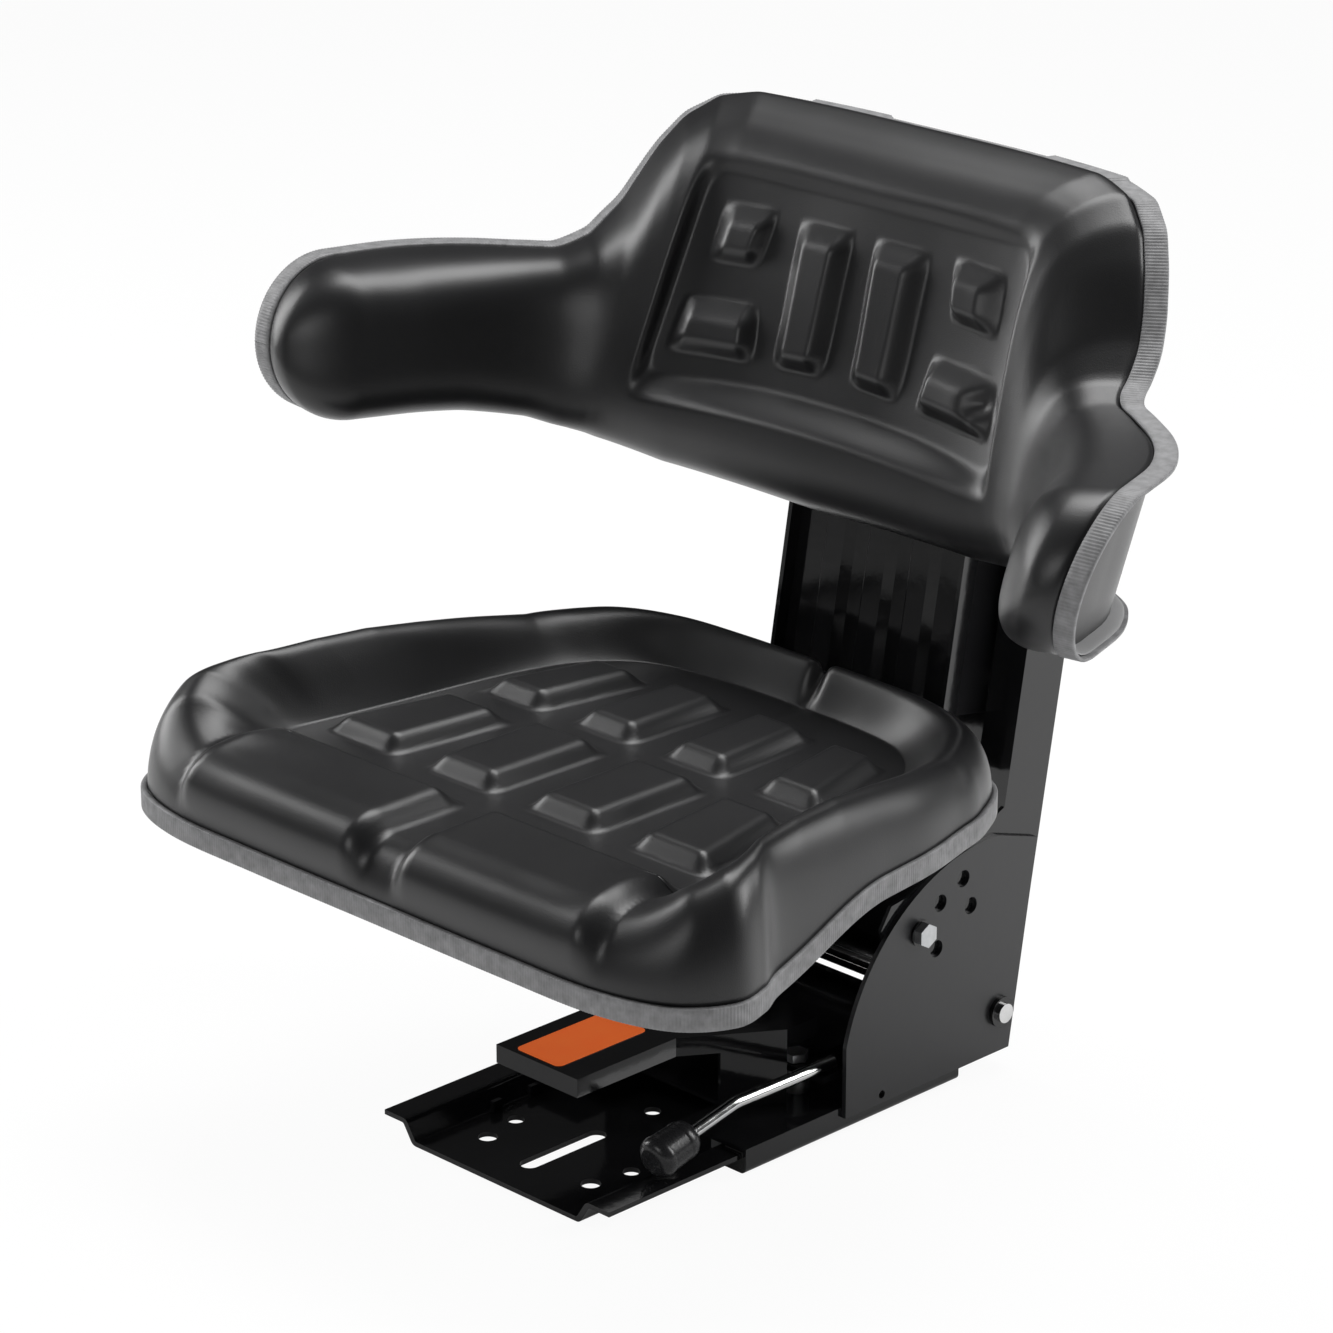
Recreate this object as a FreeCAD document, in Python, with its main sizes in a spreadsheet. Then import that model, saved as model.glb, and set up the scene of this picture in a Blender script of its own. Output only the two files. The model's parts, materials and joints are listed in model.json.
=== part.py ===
# Tractor seat on a sprung, sliding and tilting support.
# Millimetres. +Z is up, the sitter faces -Y, X = 0 is the middle of the seat and Z = 0 is the
# underside of the base plate. Y = 0 is the middle of the four mounting holes.
import FreeCAD, Part
import Sketcher
import math
import os

Vector = FreeCAD.Vector
Rotation = FreeCAD.Rotation
Placement = FreeCAD.Placement

DIMENSIONS = [
    # Base plate
    ("base_front", 132, "front edge of the base ahead of the bolt pattern"),
    ("base_rear", 150, "rear edge of the base behind the bolt pattern"),
    ("base_half", 69.5, "half width of the flat bottom"),
    ("base_sheet", 3, "sheet thickness of the base"),
    ("lip_inner", 77.2, "half width where the lips start"),
    ("lip_outer", 93.2, "half width over the lips"),
    ("lip_top", 14.8, "height of the lips"),
    ("bolt_x", 42.8, "mounting hole to the middle, across"),
    ("bolt_y", 97.5, "mounting hole to the middle, along"),
    ("bolt_hole", 12, "mounting hole diameter"),
    ("small_hole_x", 48, "small front hole to the middle, across"),
    ("small_hole_y", 70.4, "small front hole ahead of the middle"),
    ("small_hole", 10.5, "small hole diameter"),
    ("slot_y", 78, "middle of the front slot ahead of the middle"),
    ("slot_length", 65, "front slot, end to end"),
    ("slot_width", 12, "front slot width"),
    ("centre_hole_y", 6, "middle hole ahead of the middle"),
    ("side_hole_x", 57, "left locating hole to the middle"),
    ("side_hole_y", 20, "left locating hole behind the middle"),
    ("fold_inside", 2, "inner radius of the base's folds"),
    ("lug_x", 66, "stop lugs to the middle"),
    ("lug_front_y", 74, "front stop lugs ahead of the middle"),
    ("lug_rear_y", 44, "rear stop lugs ahead of the middle"),
    ("lug_width", 7, "length of a stop lug"),
    ("lug_tall", 7, "height of a stop lug above the base sheet"),
    # Lock rack
    ("rack_inner", 58, "toothed edge of the rack"),
    ("rack_outer", 65.8, "plain edge of the rack"),
    ("rack_tall", 8, "rack height"),
    ("rack_pitch", 12.5, "one step of the seat slide"),
    ("steps_forward", 8, "steps from the stored place to the front stop"),
    ("steps_back", 4, "steps from the stored place to the rear stop"),
    ("notch_depth", 6, "depth of a notch"),
    ("notch_width", 9, "width of a notch"),
    ("rack_end", 8, "plain end beyond the last notch"),
    # Sliding carriage
    ("rail_outer", 96.7, "half width over the rails"),
    ("rail_sheet", 2.5, "rail sheet thickness"),
    ("rail_bottom", 2.5, "underside of the rails"),
    ("rail_inner", 80, "half width between the lower rail flanges"),
    ("rail_top", 18.4, "top face of the carriage"),
    ("carriage_front", 27, "front edge of the carriage ahead of the middle"),
    ("carriage_length", 180, "carriage length"),
    ("slide_gap", 0.1, "clearance of the lips in the liners"),
    ("rail_fold", 4, "outer radius of the rails' folds"),
    ("deck_rear", 192, "rear edge of the carriage's deck behind the middle"),
    ("deck_cut_half", 42, "half width of the cut in the deck's front edge"),
    ("deck_cut_deep", 34, "depth of the cut in the deck's front edge"),
    # Side plates and tilt
    ("side_sheet", 3, "side plate thickness"),
    ("side_front", 52.3, "front edge of the side plates"),
    ("side_bottom", 12, "lower edge of the side plates"),
    ("side_curve_low", 55.9, "height where the front curve starts"),
    ("side_curve", 125, "radius of the front curve"),
    ("side_top_y", 180, "rear end of the front curve"),
    ("side_top", 152.2, "height of the rear end of the front curve"),
    ("side_rear_y", 215.1, "upper rear corner"),
    ("side_rear", 141.1, "height of the upper rear corner"),
    ("side_foot_y", 193.8, "lower rear corner"),
    ("pin_y", 184.9, "tilt pin behind the middle"),
    ("pin_z", 38.1, "tilt pin height"),
    ("pin_diameter", 12, "tilt pin diameter"),
    ("outer_radius", 101.6, "outer ring of tilt holes about the pin"),
    ("inner_radius", 81.2, "inner ring of tilt holes about the pin"),
    ("hole_angle", 44.6, "angle of the bolted tilt hole, forward of upright"),
    ("hole_step", 12.3, "angle between the tilt holes"),
    ("tilt_hole", 10.5, "tilt hole diameter"),
    ("weld_hole", 5, "small hole in the side plates"),
    ("weld_hole_y", 83, "small hole in the side plates behind the middle"),
    ("weld_hole_z", 17.4, "height of the small hole in the side plates"),
    ("tilt_bolt", 8, "tilt bolt diameter"),
    ("tilt_head_across", 13, "tilt bolt head across its flats"),
    ("tilt_head_tall", 5.3, "tilt bolt head height"),
    ("washer_radius", 8, "washer radius"),
    ("washer_sheet", 1.6, "washer thickness"),
    ("nut_tall", 6.5, "nut height"),
    ("bolt_past_nut", 6, "end of a tilt bolt past its nut"),
    ("pin_past_clip", 2.5, "end of the tilt pin past its clip"),
    ("clip_radius", 9.5, "pin clip radius"),
    ("clip_sheet", 3, "pin clip thickness"),
    # Tower
    ("lean", 10, "tower leaning back from upright"),
    ("tower_front", 19, "front face ahead of the pin"),
    ("tower_rear", 16, "rear face behind the pin"),
    ("tower_sheet", 2.5, "tower sheet thickness"),
    ("tower_foot", 16, "lower end below the pin"),
    ("tower_top", 345, "upper end above the pin"),
    ("lip_gap", 7, "front lips to the roller brackets"),
    ("window_half", 48, "half width of the rear window"),
    ("window_low", 178, "lower edge of the rear window"),
    ("window_high", 318, "upper edge of the rear window"),
    ("ear_reach", 114, "ear ahead of the pin"),
    ("ear_low", 12, "where an ear leaves the channel, above the pin"),
    ("ear_high", 128, "where an ear joins the channel, above the pin"),
    ("ear_hole", 9, "spare hole in an ear"),
    ("cap_sheet", 4, "thickness of the top cap"),
    # Roller carriage and springs
    ("roller_radius", 14.7, "roller radius"),
    ("roller_width", 14, "roller width"),
    ("roller_gap", 3.7, "roller to the tower's side wall"),
    ("roller_low", 196, "lower rollers above the pin"),
    ("roller_high", 310, "upper rollers above the pin"),
    ("axle_diameter", 10, "roller axle diameter"),
    ("axle_gap", 0.05, "radial clearance of a roller on its axle"),
    ("bracket_past", 14, "bracket beyond the upper axle"),
    ("bracket_foot", 20, "bracket below the lower axle"),
    ("bracket_gap", 11.5, "roller bracket to its rollers"),
    ("bracket_sheet", 3, "roller bracket thickness"),
    ("travel", 52, "suspension travel down from the stored height"),
    ("spring_x", 27, "spring from the middle"),
    ("spring_radius", 14, "outer radius of a spring"),
    ("spring_wire", 4, "spring wire diameter"),
    ("spring_turns", 16, "turns of a spring"),
    ("stop_tall", 14, "height of a bump stop"),
    ("stop_wide", 15, "width of a stop"),
    ("rest_gap", 0.3, "running clearance between pieces that meet"),
    ("spring_bar_drop", 12, "spring bar below the lower rollers"),
    ("crosshead_high", 318, "crosshead above the pin"),
    ("crosshead_half", 44, "half length of the crosshead"),
    ("crosshead_deep", 14, "depth of the crosshead"),
    ("crosshead_tall", 10, "height of the crosshead"),
    ("screw_diameter", 12, "adjuster screw diameter"),
    ("screw_gap", 0.05, "radial clearance of the screw in its plates"),
    ("knob_radius", 24, "adjuster knob radius"),
    ("knob_tall", 14, "height of the knob's lobed part"),
    ("hub_radius", 14, "radius of the knob's hub"),
    ("hub_tall", 8, "height of the knob's hub"),
    # Seat frame
    ("panel_half", 70.4, "half width of the ribbed panel"),
    ("panel_face", 46, "panel ahead of the pin"),
    ("panel_sheet", 3, "panel sheet thickness"),
    ("panel_flange", 9, "side flange of the panel, forward"),
    ("rib_rise", 5, "height of the panel's ribs"),
    ("rib_half", 7, "half width of a rib's top"),
    ("rib_slope", 5, "width of a rib's sloping side"),
    ("rib_pitch", 34, "one rib to the next"),
    ("leg_sheet", 3, "thickness of the frame's lower leg"),
    ("panel_top", 430, "upper end of the panel above the pin"),
    ("leg_top", 187, "height of the frame's lower leg"),
    ("leg_front", 60, "front end of the lower leg ahead of the middle"),
    ("rail_x", 52, "pan rails and their bolts to the middle"),
    ("rail_wide", 26, "width of a pan rail"),
    ("rail_from", 58, "front end of the pan rails ahead of the middle"),
    ("rail_long", 170, "length of the pan rails"),
    ("pan_bolt_front", 40, "front pan bolts ahead of the middle"),
    ("pan_bolt_rear", 90, "rear pan bolts behind the middle"),
    ("spacer_low", 392, "lower edge of the backrest spacers"),
    ("spacer_high", 472, "upper edge of the backrest spacers"),
    ("spacer_inner", 5, "inner face of a spacer to the middle"),
    ("spacer_wide", 24, "width of a spacer"),
    ("back_bolt_low", 374, "lower backrest bolts above the pin"),
    ("back_bolt_high", 414, "upper backrest bolts above the pin"),
    ("frame_head_tall", 5.5, "height of the frame's bolt heads"),
    ("frame_head_across", 13, "frame bolt heads across their flats"),
    # Front tray
    ("tray_top", 65, "top face of the tray"),
    ("tray_sheet", 3, "tray sheet thickness at the top"),
    ("tray_wall", 2, "thickness of the tray's lips"),
    ("tray_lip", 11.5, "height of the tray's lips, over all"),
    ("tray_front", 98.6, "front end of the tray ahead of the middle"),
    ("tray_half", 33.4, "half width of the tray's tongue"),
    ("tray_neck", 20, "where the tongue starts to widen, ahead of the middle"),
    ("tray_wide", 70, "half width of the tray's rear part"),
    ("tray_wide_y", 34, "where the tray is full width, behind the middle"),
    ("tray_rear", 60, "rear end of the tray behind the middle"),
    # Cushion
    ("cushion_front", 221, "front edge of the cushion ahead of the middle"),
    ("cushion_rear", 132, "rear edge of the cushion behind the middle"),
    ("cushion_half", 236, "greatest half width of the cushion"),
    ("waist_half", 199, "half width behind the side kick"),
    ("tail_half", 157.5, "half width at the rear corners"),
    ("edge_front", 188, "underside of the edge trim at the front"),
    ("edge_rear", 207, "underside of the edge trim at the rear"),
    ("trim_tall", 13, "height of the edge trim"),
    ("trim_wall", 4, "thickness of the edge trim"),
    ("pan_rise", 2, "underside of the pan above the trim's underside"),
    ("kick_front", 135, "where the edge starts to kick up, ahead of the middle"),
    ("kick_rear", 30, "where the kick ends, ahead of the middle"),
    ("pan_sheet", 2, "thickness of the pressed pans"),
    ("floor", 230, "height of the sitting face"),
    ("bolster", 261, "height of the side bolsters"),
    ("block_tall", 9, "height of the raised blocks"),
    # Backrest
    ("back_y", 154, "rear seam of the backrest behind the middle, at wing height"),
    ("wing_z", 405, "middle height of the wings"),
    ("back_slope", 0.374, "backrest lean, back for each unit of height"),
    ("back_top", 546, "top of the backrest"),
    ("back_bottom", 341, "bottom of the backrest"),
    ("wing_top", 453, "top of the wings"),
    ("wing_bottom", 350, "bottom of the wings"),
    ("wing_x", 303, "wings from the middle"),
    ("wing_reach", 32, "wing tips ahead of the middle"),
    ("back_foam", 42, "backrest foam thickness"),
    ("wing_foam", 56, "wing foam thickness"),
    ("shell_depth", 18, "depth of the rear shell"),
    ("shell_wall", 2.5, "thickness of the rear shell"),
    ("trim_depth", 13.3, "depth of the backrest's edge trim, front to rear"),
    ("trim_behind", 7, "the trim's rear edge behind the seam"),
    ("band_wall", 2.6, "thickness of the backrest's edge trim"),
    ("rim_gap", 0.9, "gap between the foam and the trim round it"),
    ("rim_step", 1.5, "the shell's rim inside the foam's edge"),
    ("recess_floor", 24, "foam left under the recess"),
    ("recess_top", 515, "upper edge of the recess"),
    ("recess_low", 395, "lower edge of the recess"),
    ("recess_half_top", 122, "half width of the recess at its upper edge"),
    ("recess_half_low", 138, "half width of the recess at its lower edge"),
    ("recess_raise", 10, "height of the bars and blocks in the recess"),
    # Slide lever
    ("lever_x", 60, "lever pivot from the middle"),
    ("lever_y", 52, "lever pivot behind the middle"),
    ("lever_reach", 40, "pivot to locking finger"),
    ("lever_z", 33, "underside of the lever plate"),
    ("lever_sheet", 4, "lever plate thickness"),
    ("rod_x", 83.6, "lever rod from the middle"),
    ("rod_diameter", 8, "lever rod diameter"),
    ("rod_bend_y", 23, "bend of the lever rod ahead of the middle"),
    ("rod_end_y", 72, "end of the lever rod's middle line ahead of the middle"),
    ("rod_end_z", 31.6, "height of that end"),
    ("rod_bend", 22, "radius of the lever rod's bend"),
    ("grip_radius", 12.2, "lever knob radius"),
    ("grip_length", 31.5, "lever knob length"),
    ("grip_bore_deep", 14, "rod inside the lever knob"),
    ("lever_bolt", 8, "lever pivot bolt diameter"),
]

doc = FreeCAD.newDocument("tractor_seat")
sheet = doc.addObject("Spreadsheet::Sheet", "dims")
for line, (alias, number, meaning) in enumerate(DIMENSIONS, 1):
    sheet.set(f"A{line}", meaning)
    sheet.set(f"B{line}", str(number))
    sheet.setAlias(f"B{line}", alias)
doc.recompute()


class Size:
    """A length or angle that keeps its value and the sheet expression behind it."""

    def __init__(self, value, text):
        self.value = float(value)
        self.text = text

    @staticmethod
    def of(thing):
        return thing if isinstance(thing, Size) else Size(thing, repr(float(thing)))

    def __float__(self):
        return self.value

    def __add__(self, other):
        other = Size.of(other)
        return Size(self.value + other.value, f"({self.text} + {other.text})")

    def __radd__(self, other):
        return Size.of(other) + self

    def __sub__(self, other):
        other = Size.of(other)
        return Size(self.value - other.value, f"({self.text} - {other.text})")

    def __rsub__(self, other):
        return Size.of(other) - self

    def __mul__(self, other):
        other = Size.of(other)
        return Size(self.value * other.value, f"({self.text} * {other.text})")

    __rmul__ = __mul__

    def __truediv__(self, other):
        other = Size.of(other)
        return Size(self.value / other.value, f"({self.text} / {other.text})")

    def __neg__(self):
        return Size(-self.value, f"(-1 * {self.text})")

    def sine(self):
        return Size(math.sin(math.radians(self.value)), f"sin({self.text})")

    def cosine(self):
        return Size(math.cos(math.radians(self.value)), f"cos({self.text})")


class Sheet:
    """Gives each cell of the spreadsheet by its alias."""

    def __getattr__(self, alias):
        return Size(getattr(sheet, alias), f"dims.{alias}")


dim = Sheet()
ROLLER_SIDE = dim.rail_outer - dim.tower_sheet - dim.roller_gap - dim.roller_width
BRACKET_HALF = ROLLER_SIDE - dim.bracket_gap
CHANNEL_MIDDLE = (dim.tower_rear - dim.tower_front) / 2
nodes = []


def keep(shape_object, label):
    """Count an object as a piece of the seat under its own name."""
    shape_object.Label = label
    nodes.append(shape_object)
    return shape_object


def lean_back(piece):
    """Set a piece drawn upright about the tilt pin onto the leaning tower."""
    piece.Placement = Placement(Vector(0, dim.pin_y.value, dim.pin_z.value), Rotation(Vector(-1, 0, 0), dim.lean.value))
    piece.setExpression("Placement.Base.y", dim.pin_y.text)
    piece.setExpression("Placement.Base.z", dim.pin_z.text)
    piece.setExpression("Placement.Rotation.Angle", dim.lean.text)
    return piece


# Sketches and plates

def new_body(name):
    return doc.addObject("PartDesign::Body", name)


def new_sketch(body, plane, offset=0):
    """A sketch on one of the body's own planes, moved along its normal."""
    made = body.newObject("Sketcher::SketchObject", f"{body.Name}_sketch")
    made.AttachmentSupport = [(next(f for f in body.Origin.OriginFeatures if f.Role == plane), "")]
    made.MapMode = "FlatFace"
    made.setExpression("AttachmentOffset.Base.z", Size.of(offset).text)
    return made


def pin_down(made, kind, geometry, place, size):
    """Bind one distance of a sketch point from the sketch origin."""
    size = Size.of(size)
    number = made.addConstraint(Sketcher.Constraint(kind, -1, 1, geometry, place, size.value))
    made.setExpression(f"Constraints[{number}]", size.text)


def outline(made, corners, arcs=None):
    """Close an outline through corners; arcs maps an edge to the radius that it bulges out by."""
    arcs = arcs or {}
    first = made.GeometryCount
    count = len(corners)
    ends = []
    for index, (start, end) in enumerate(zip(corners, corners[1:] + corners[:1])):
        a = Vector(float(start[0]), float(start[1]), 0)
        b = Vector(float(end[0]), float(end[1]), 0)
        if index in arcs:
            radius = Size.of(arcs[index])
            chord = b - a
            half = chord.Length / 2
            side = Vector(-chord.y, chord.x, 0).normalize()
            centre = (a + b) / 2 + side * math.sqrt(radius.value ** 2 - half ** 2)
            circle = Part.Circle(centre, Vector(0, 0, 1), radius.value)
            made.addGeometry(Part.ArcOfCircle(circle, circle.parameter(a), circle.parameter(b)))
            number = made.addConstraint(Sketcher.Constraint("Radius", first + index, radius.value))
            made.setExpression(f"Constraints[{number}]", radius.text)
        else:
            made.addGeometry(Part.LineSegment(a, b))
        ends.append((first + index, 1, 2))
    for index in range(count):
        here, following = ends[index], ends[(index + 1) % count]
        made.addConstraint(Sketcher.Constraint("Coincident", here[0], here[2], following[0], following[1]))
    for index, (x, y) in enumerate(corners):
        pin_down(made, "DistanceX", ends[index][0], 1, x)
        pin_down(made, "DistanceY", ends[index][0], 1, y)


def round_hole(made, x, y, diameter):
    geometry = made.addGeometry(Part.Circle(Vector(float(x), float(y), 0), Vector(0, 0, 1), float(diameter) / 2))
    number = made.addConstraint(Sketcher.Constraint("Diameter", geometry, float(diameter)))
    made.setExpression(f"Constraints[{number}]", Size.of(diameter).text)
    pin_down(made, "DistanceX", geometry, 3, x)
    pin_down(made, "DistanceY", geometry, 3, y)


def pad(body, made, length, symmetric=False, flip=False):
    feature = body.newObject("PartDesign::Pad", f"{body.Name}_pad")
    feature.Profile = made
    feature.setExpression("Length", Size.of(length).text)
    feature.SideType = "Symmetric" if symmetric else "One side"
    feature.Reversed = flip
    doc.recompute()
    return feature


def pocket(body, made):
    """Cut a sketch right through the body, both ways from its plane."""
    feature = body.newObject("PartDesign::Pocket", f"{body.Name}_pocket")
    feature.Profile = made
    feature.SideType = "Symmetric"
    feature.Type = "ThroughAll"
    before = body.Shape.Volume
    doc.recompute()
    if feature.Shape.Volume >= before:
        raise RuntimeError(f"{feature.Name} cut nothing")
    return feature


def round_edges(body, radius, chosen):
    """Round the edges of the body's last feature that pass a test."""
    last = body.Tip
    names = [f"Edge{number}" for number, edge in enumerate(last.Shape.Edges, 1) if chosen(edge)]
    feature = body.newObject("PartDesign::Fillet", f"{body.Name}_rounding_{len(body.Group)}")
    feature.Base = (last, names)
    feature.setExpression("Radius", Size.of(radius).text)
    doc.recompute()
    return feature


def lies_along_y(edge, x, z):
    """Whether an edge runs along Y at one distance from the middle and one height."""
    ends = [vertex.Point for vertex in edge.Vertexes]
    return (len(ends) == 2 and abs(ends[0].x - ends[1].x) < 0.01
            and all(abs(abs(end.x) - float(x)) < 0.01 and abs(end.z - float(z)) < 0.01 for end in ends))


def slot_corners(x, y, length, width):
    """Corners of a round-ended slot along the sketch's second axis, and its arc edges."""
    reach = (Size.of(length) - width) / 2
    half = Size.of(width) / 2
    corners = [(x - half, y - reach), (x + half, y - reach), (x + half, y + reach), (x - half, y + reach)]
    return corners, {0: half * 1.0001, 2: half * 1.0001}


def mirrored(right):
    """An outline from its right half, drawn from the lower middle to the upper middle."""
    return right + [(-Size.of(x), z) for x, z in reversed(right)]


# Round bars, bolts and simple blocks

def along_x(name, left, y, z, length, radius):
    made = doc.addObject("Part::Cylinder", name)
    made.Placement = Placement(Vector(float(left), float(y), float(z)), Rotation(Vector(0, 1, 0), 90))
    for path, size in (("Radius", radius), ("Height", length), ("Placement.Base.x", left),
                       ("Placement.Base.y", y), ("Placement.Base.z", z)):
        made.setExpression(path, Size.of(size).text)
    return made


def upright(name, x, y, low, height, radius):
    made = doc.addObject("Part::Cylinder", name)
    for path, size in (("Radius", radius), ("Height", height), ("Placement.Base.x", x),
                       ("Placement.Base.y", y), ("Placement.Base.z", low)):
        made.setExpression(path, Size.of(size).text)
    return made


def block(name, x, y, z, width, depth, height):
    made = doc.addObject("Part::Box", name)
    for path, size in (("Length", width), ("Width", depth), ("Height", height), ("Placement.Base.x", x),
                       ("Placement.Base.y", y), ("Placement.Base.z", z)):
        made.setExpression(path, Size.of(size).text)
    return made


def hexagon(name, x, y, z, height, across, turn=None):
    made = doc.addObject("Part::Prism", name)
    made.Polygon = 6
    if turn is not None:
        made.Placement = Placement(Vector(float(x), float(y), float(z)), turn)
    for path, size in (("Circumradius", Size.of(across) / math.sqrt(3)), ("Height", height),
                       ("Placement.Base.x", x), ("Placement.Base.y", y), ("Placement.Base.z", z)):
        made.setExpression(path, Size.of(size).text)
    return made


def fuse(name, pieces):
    made = doc.addObject("Part::MultiFuse", name)
    made.Shapes = pieces
    made.Refine = True
    return made


def cut(name, base, tool):
    made = doc.addObject("Part::Cut", name)
    made.Base = base
    made.Tool = tool
    return made


def group(name, pieces):
    made = doc.addObject("Part::Compound", name)
    made.Links = pieces
    return made


SIDEWAYS = Rotation(Vector(0, 1, 0), 90)


# Base plate: one folded channel whose outward lips are the lower slide rails

def base_plate():
    body = new_body("base_plate")
    fold = new_sketch(body, "XZ_Plane", -dim.base_rear)
    wall = dim.base_sheet * 0.8
    low_inside = (dim.base_half - wall, dim.base_sheet)
    low_outside = (dim.base_half, Size.of(0))
    high_inside = (dim.lip_inner, dim.lip_top - dim.base_sheet)
    high_outside = (dim.lip_inner - wall, dim.lip_top)
    right = [low_outside, high_inside, (dim.lip_outer, dim.lip_top - dim.base_sheet),
             (dim.lip_outer, dim.lip_top), high_outside, low_inside]
    outline(fold, mirrored(right))
    pad(body, fold, dim.base_front + dim.base_rear)
    round_edges(body, dim.fold_inside, lambda e: any(lies_along_y(e, *c) for c in (low_inside, high_inside)))
    outer = dim.fold_inside + dim.base_sheet
    round_edges(body, outer, lambda e: any(lies_along_y(e, *c) for c in (low_outside, high_outside)))
    holes = new_sketch(body, "XY_Plane")
    for side in (-1, 1):
        for end in (-1, 1):
            round_hole(holes, side * dim.bolt_x, end * dim.bolt_y, dim.bolt_hole)
        round_hole(holes, side * dim.small_hole_x, -dim.small_hole_y, dim.small_hole)
    round_hole(holes, 0, -dim.centre_hole_y, dim.small_hole)
    round_hole(holes, -dim.side_hole_x, dim.side_hole_y, dim.small_hole)
    outline(holes, *slot_corners(Size.of(0), -dim.slot_y, dim.slot_length, dim.slot_width))
    pocket(body, holes)
    for side in (-1, 1):
        for y in (-dim.lug_front_y, -dim.lug_rear_y):
            lug = new_sketch(body, "XY_Plane", dim.base_sheet - 1)
            near, far = side * (dim.lug_x - dim.base_sheet), side * dim.lug_x
            outline(lug, [(near, y), (far, y), (far, y + dim.lug_width), (near, y + dim.lug_width)])
            pad(body, lug, dim.lug_tall + 1)
    keep(body, "base_plate")


def lock_rack():
    """Toothed strip welded on the base plate; the lever's finger drops into its notches."""
    body = new_body("lock_rack")
    front = dim.lever_y + dim.lever_reach - dim.rack_pitch * dim.steps_forward
    rear = dim.lever_y + dim.lever_reach + dim.rack_pitch * dim.steps_back
    strip = new_sketch(body, "XY_Plane", dim.base_sheet)
    outline(strip, [(dim.rack_inner, front - dim.rack_end), (dim.rack_outer, front - dim.rack_end),
                    (dim.rack_outer, rear + dim.rack_end), (dim.rack_inner, rear + dim.rack_end)])
    pad(body, strip, dim.rack_tall)
    notch = new_sketch(body, "XY_Plane", dim.base_sheet)
    half = dim.notch_width / 2
    outline(notch, [(dim.rack_inner - 1, front - half - 1), (dim.rack_inner + dim.notch_depth, front - half),
                    (dim.rack_inner + dim.notch_depth, front + half), (dim.rack_inner - 1, front + half + 1)])
    first = pocket(body, notch)
    row = body.newObject("PartDesign::LinearPattern", "lock_rack_row")
    row.Originals = [first]
    row.Direction = (next(f for f in body.Origin.OriginFeatures if f.Role == "Y_Axis"), [""])
    row.setExpression("Length", (dim.rack_pitch * (dim.steps_forward + dim.steps_back)).text)
    row.setExpression("Occurrences", (dim.steps_forward + dim.steps_back + 1).text)
    body.Tip = row
    keep(body, "lock_rack")


# Sliding carriage

def carriage_plate():
    """Deck with its two rails folded round the base plate's lips."""
    body = new_body("carriage_plate")
    rear = dim.carriage_length - dim.carriage_front
    fold = new_sketch(body, "XZ_Plane", -rear)
    inside = dim.rail_outer - dim.rail_sheet
    low = dim.rail_bottom + dim.rail_sheet
    high = dim.rail_top - dim.rail_sheet
    right = [(dim.rail_inner, dim.rail_bottom), (dim.rail_outer, dim.rail_bottom), (dim.rail_outer, dim.rail_top)]
    left = [(-Size.of(x), z) for x, z in reversed(right)]
    under = [(-dim.rail_inner, low), (-inside, low), (-inside, high), (inside, high), (inside, low),
             (dim.rail_inner, low)]
    outline(fold, right + left + under)
    pad(body, fold, dim.carriage_length)
    round_edges(body, dim.rail_fold, lambda e: lies_along_y(e, dim.rail_outer, dim.rail_bottom))
    deck = new_sketch(body, "XY_Plane", high)
    outline(deck, mirrored([(inside, rear - 1), (inside, dim.deck_rear)]))
    pad(body, deck, dim.rail_sheet)
    holes = new_sketch(body, "XY_Plane")
    finger = dim.lever_y + dim.lever_reach
    outline(holes, [(dim.rack_inner - 17, finger - 9), (dim.rack_outer + 1, finger - 9),
                    (dim.rack_outer + 1, finger + 6), (dim.rack_inner - 17, finger + 6)])
    round_hole(holes, dim.lever_x, dim.lever_y, dim.lever_bolt)
    front = -dim.carriage_front
    outline(holes, [(-dim.deck_cut_half, front - 1), (dim.deck_cut_half, front - 1),
                    (dim.deck_cut_half, front + dim.deck_cut_deep), (-dim.deck_cut_half, front + dim.deck_cut_deep)])
    pocket(body, holes)
    keep(body, "carriage_plate")


def slide_liners():
    """Nylon strips in the rails that run on the base plate's lips."""
    for side, label in ((-1, "slide_liner_left"), (1, "slide_liner_right")):
        body = new_body(label)
        profile = new_sketch(body, "XZ_Plane", dim.carriage_front - dim.carriage_length)
        outer = dim.rail_outer - dim.rail_sheet
        low = dim.rail_bottom + dim.rail_sheet
        high = dim.rail_top - dim.rail_sheet
        groove_low = dim.lip_top - dim.base_sheet - dim.slide_gap
        groove_high = dim.lip_top + dim.slide_gap
        groove_end = dim.lip_outer + dim.slide_gap
        corners = [(dim.rail_inner, low), (outer, low), (outer, high), (dim.rail_inner, high),
                   (dim.rail_inner, groove_high), (groove_end, groove_high), (groove_end, groove_low),
                   (dim.rail_inner, groove_low)]
        outline(profile, [(side * x, z) for x, z in corners])
        pad(body, profile, dim.carriage_length)
        keep(body, label)


def tilt_hole_places():
    """Tilt holes of a side plate as (y, z), the bolted one first."""
    places = []
    for radius, steps in ((dim.outer_radius, (0, 1, 2)), (dim.inner_radius, (0, 2))):
        for step in steps:
            angle = dim.hole_angle - dim.hole_step * step
            places.append((dim.pin_y - radius * angle.sine(), dim.pin_z + radius * angle.cosine()))
    return places


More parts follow.
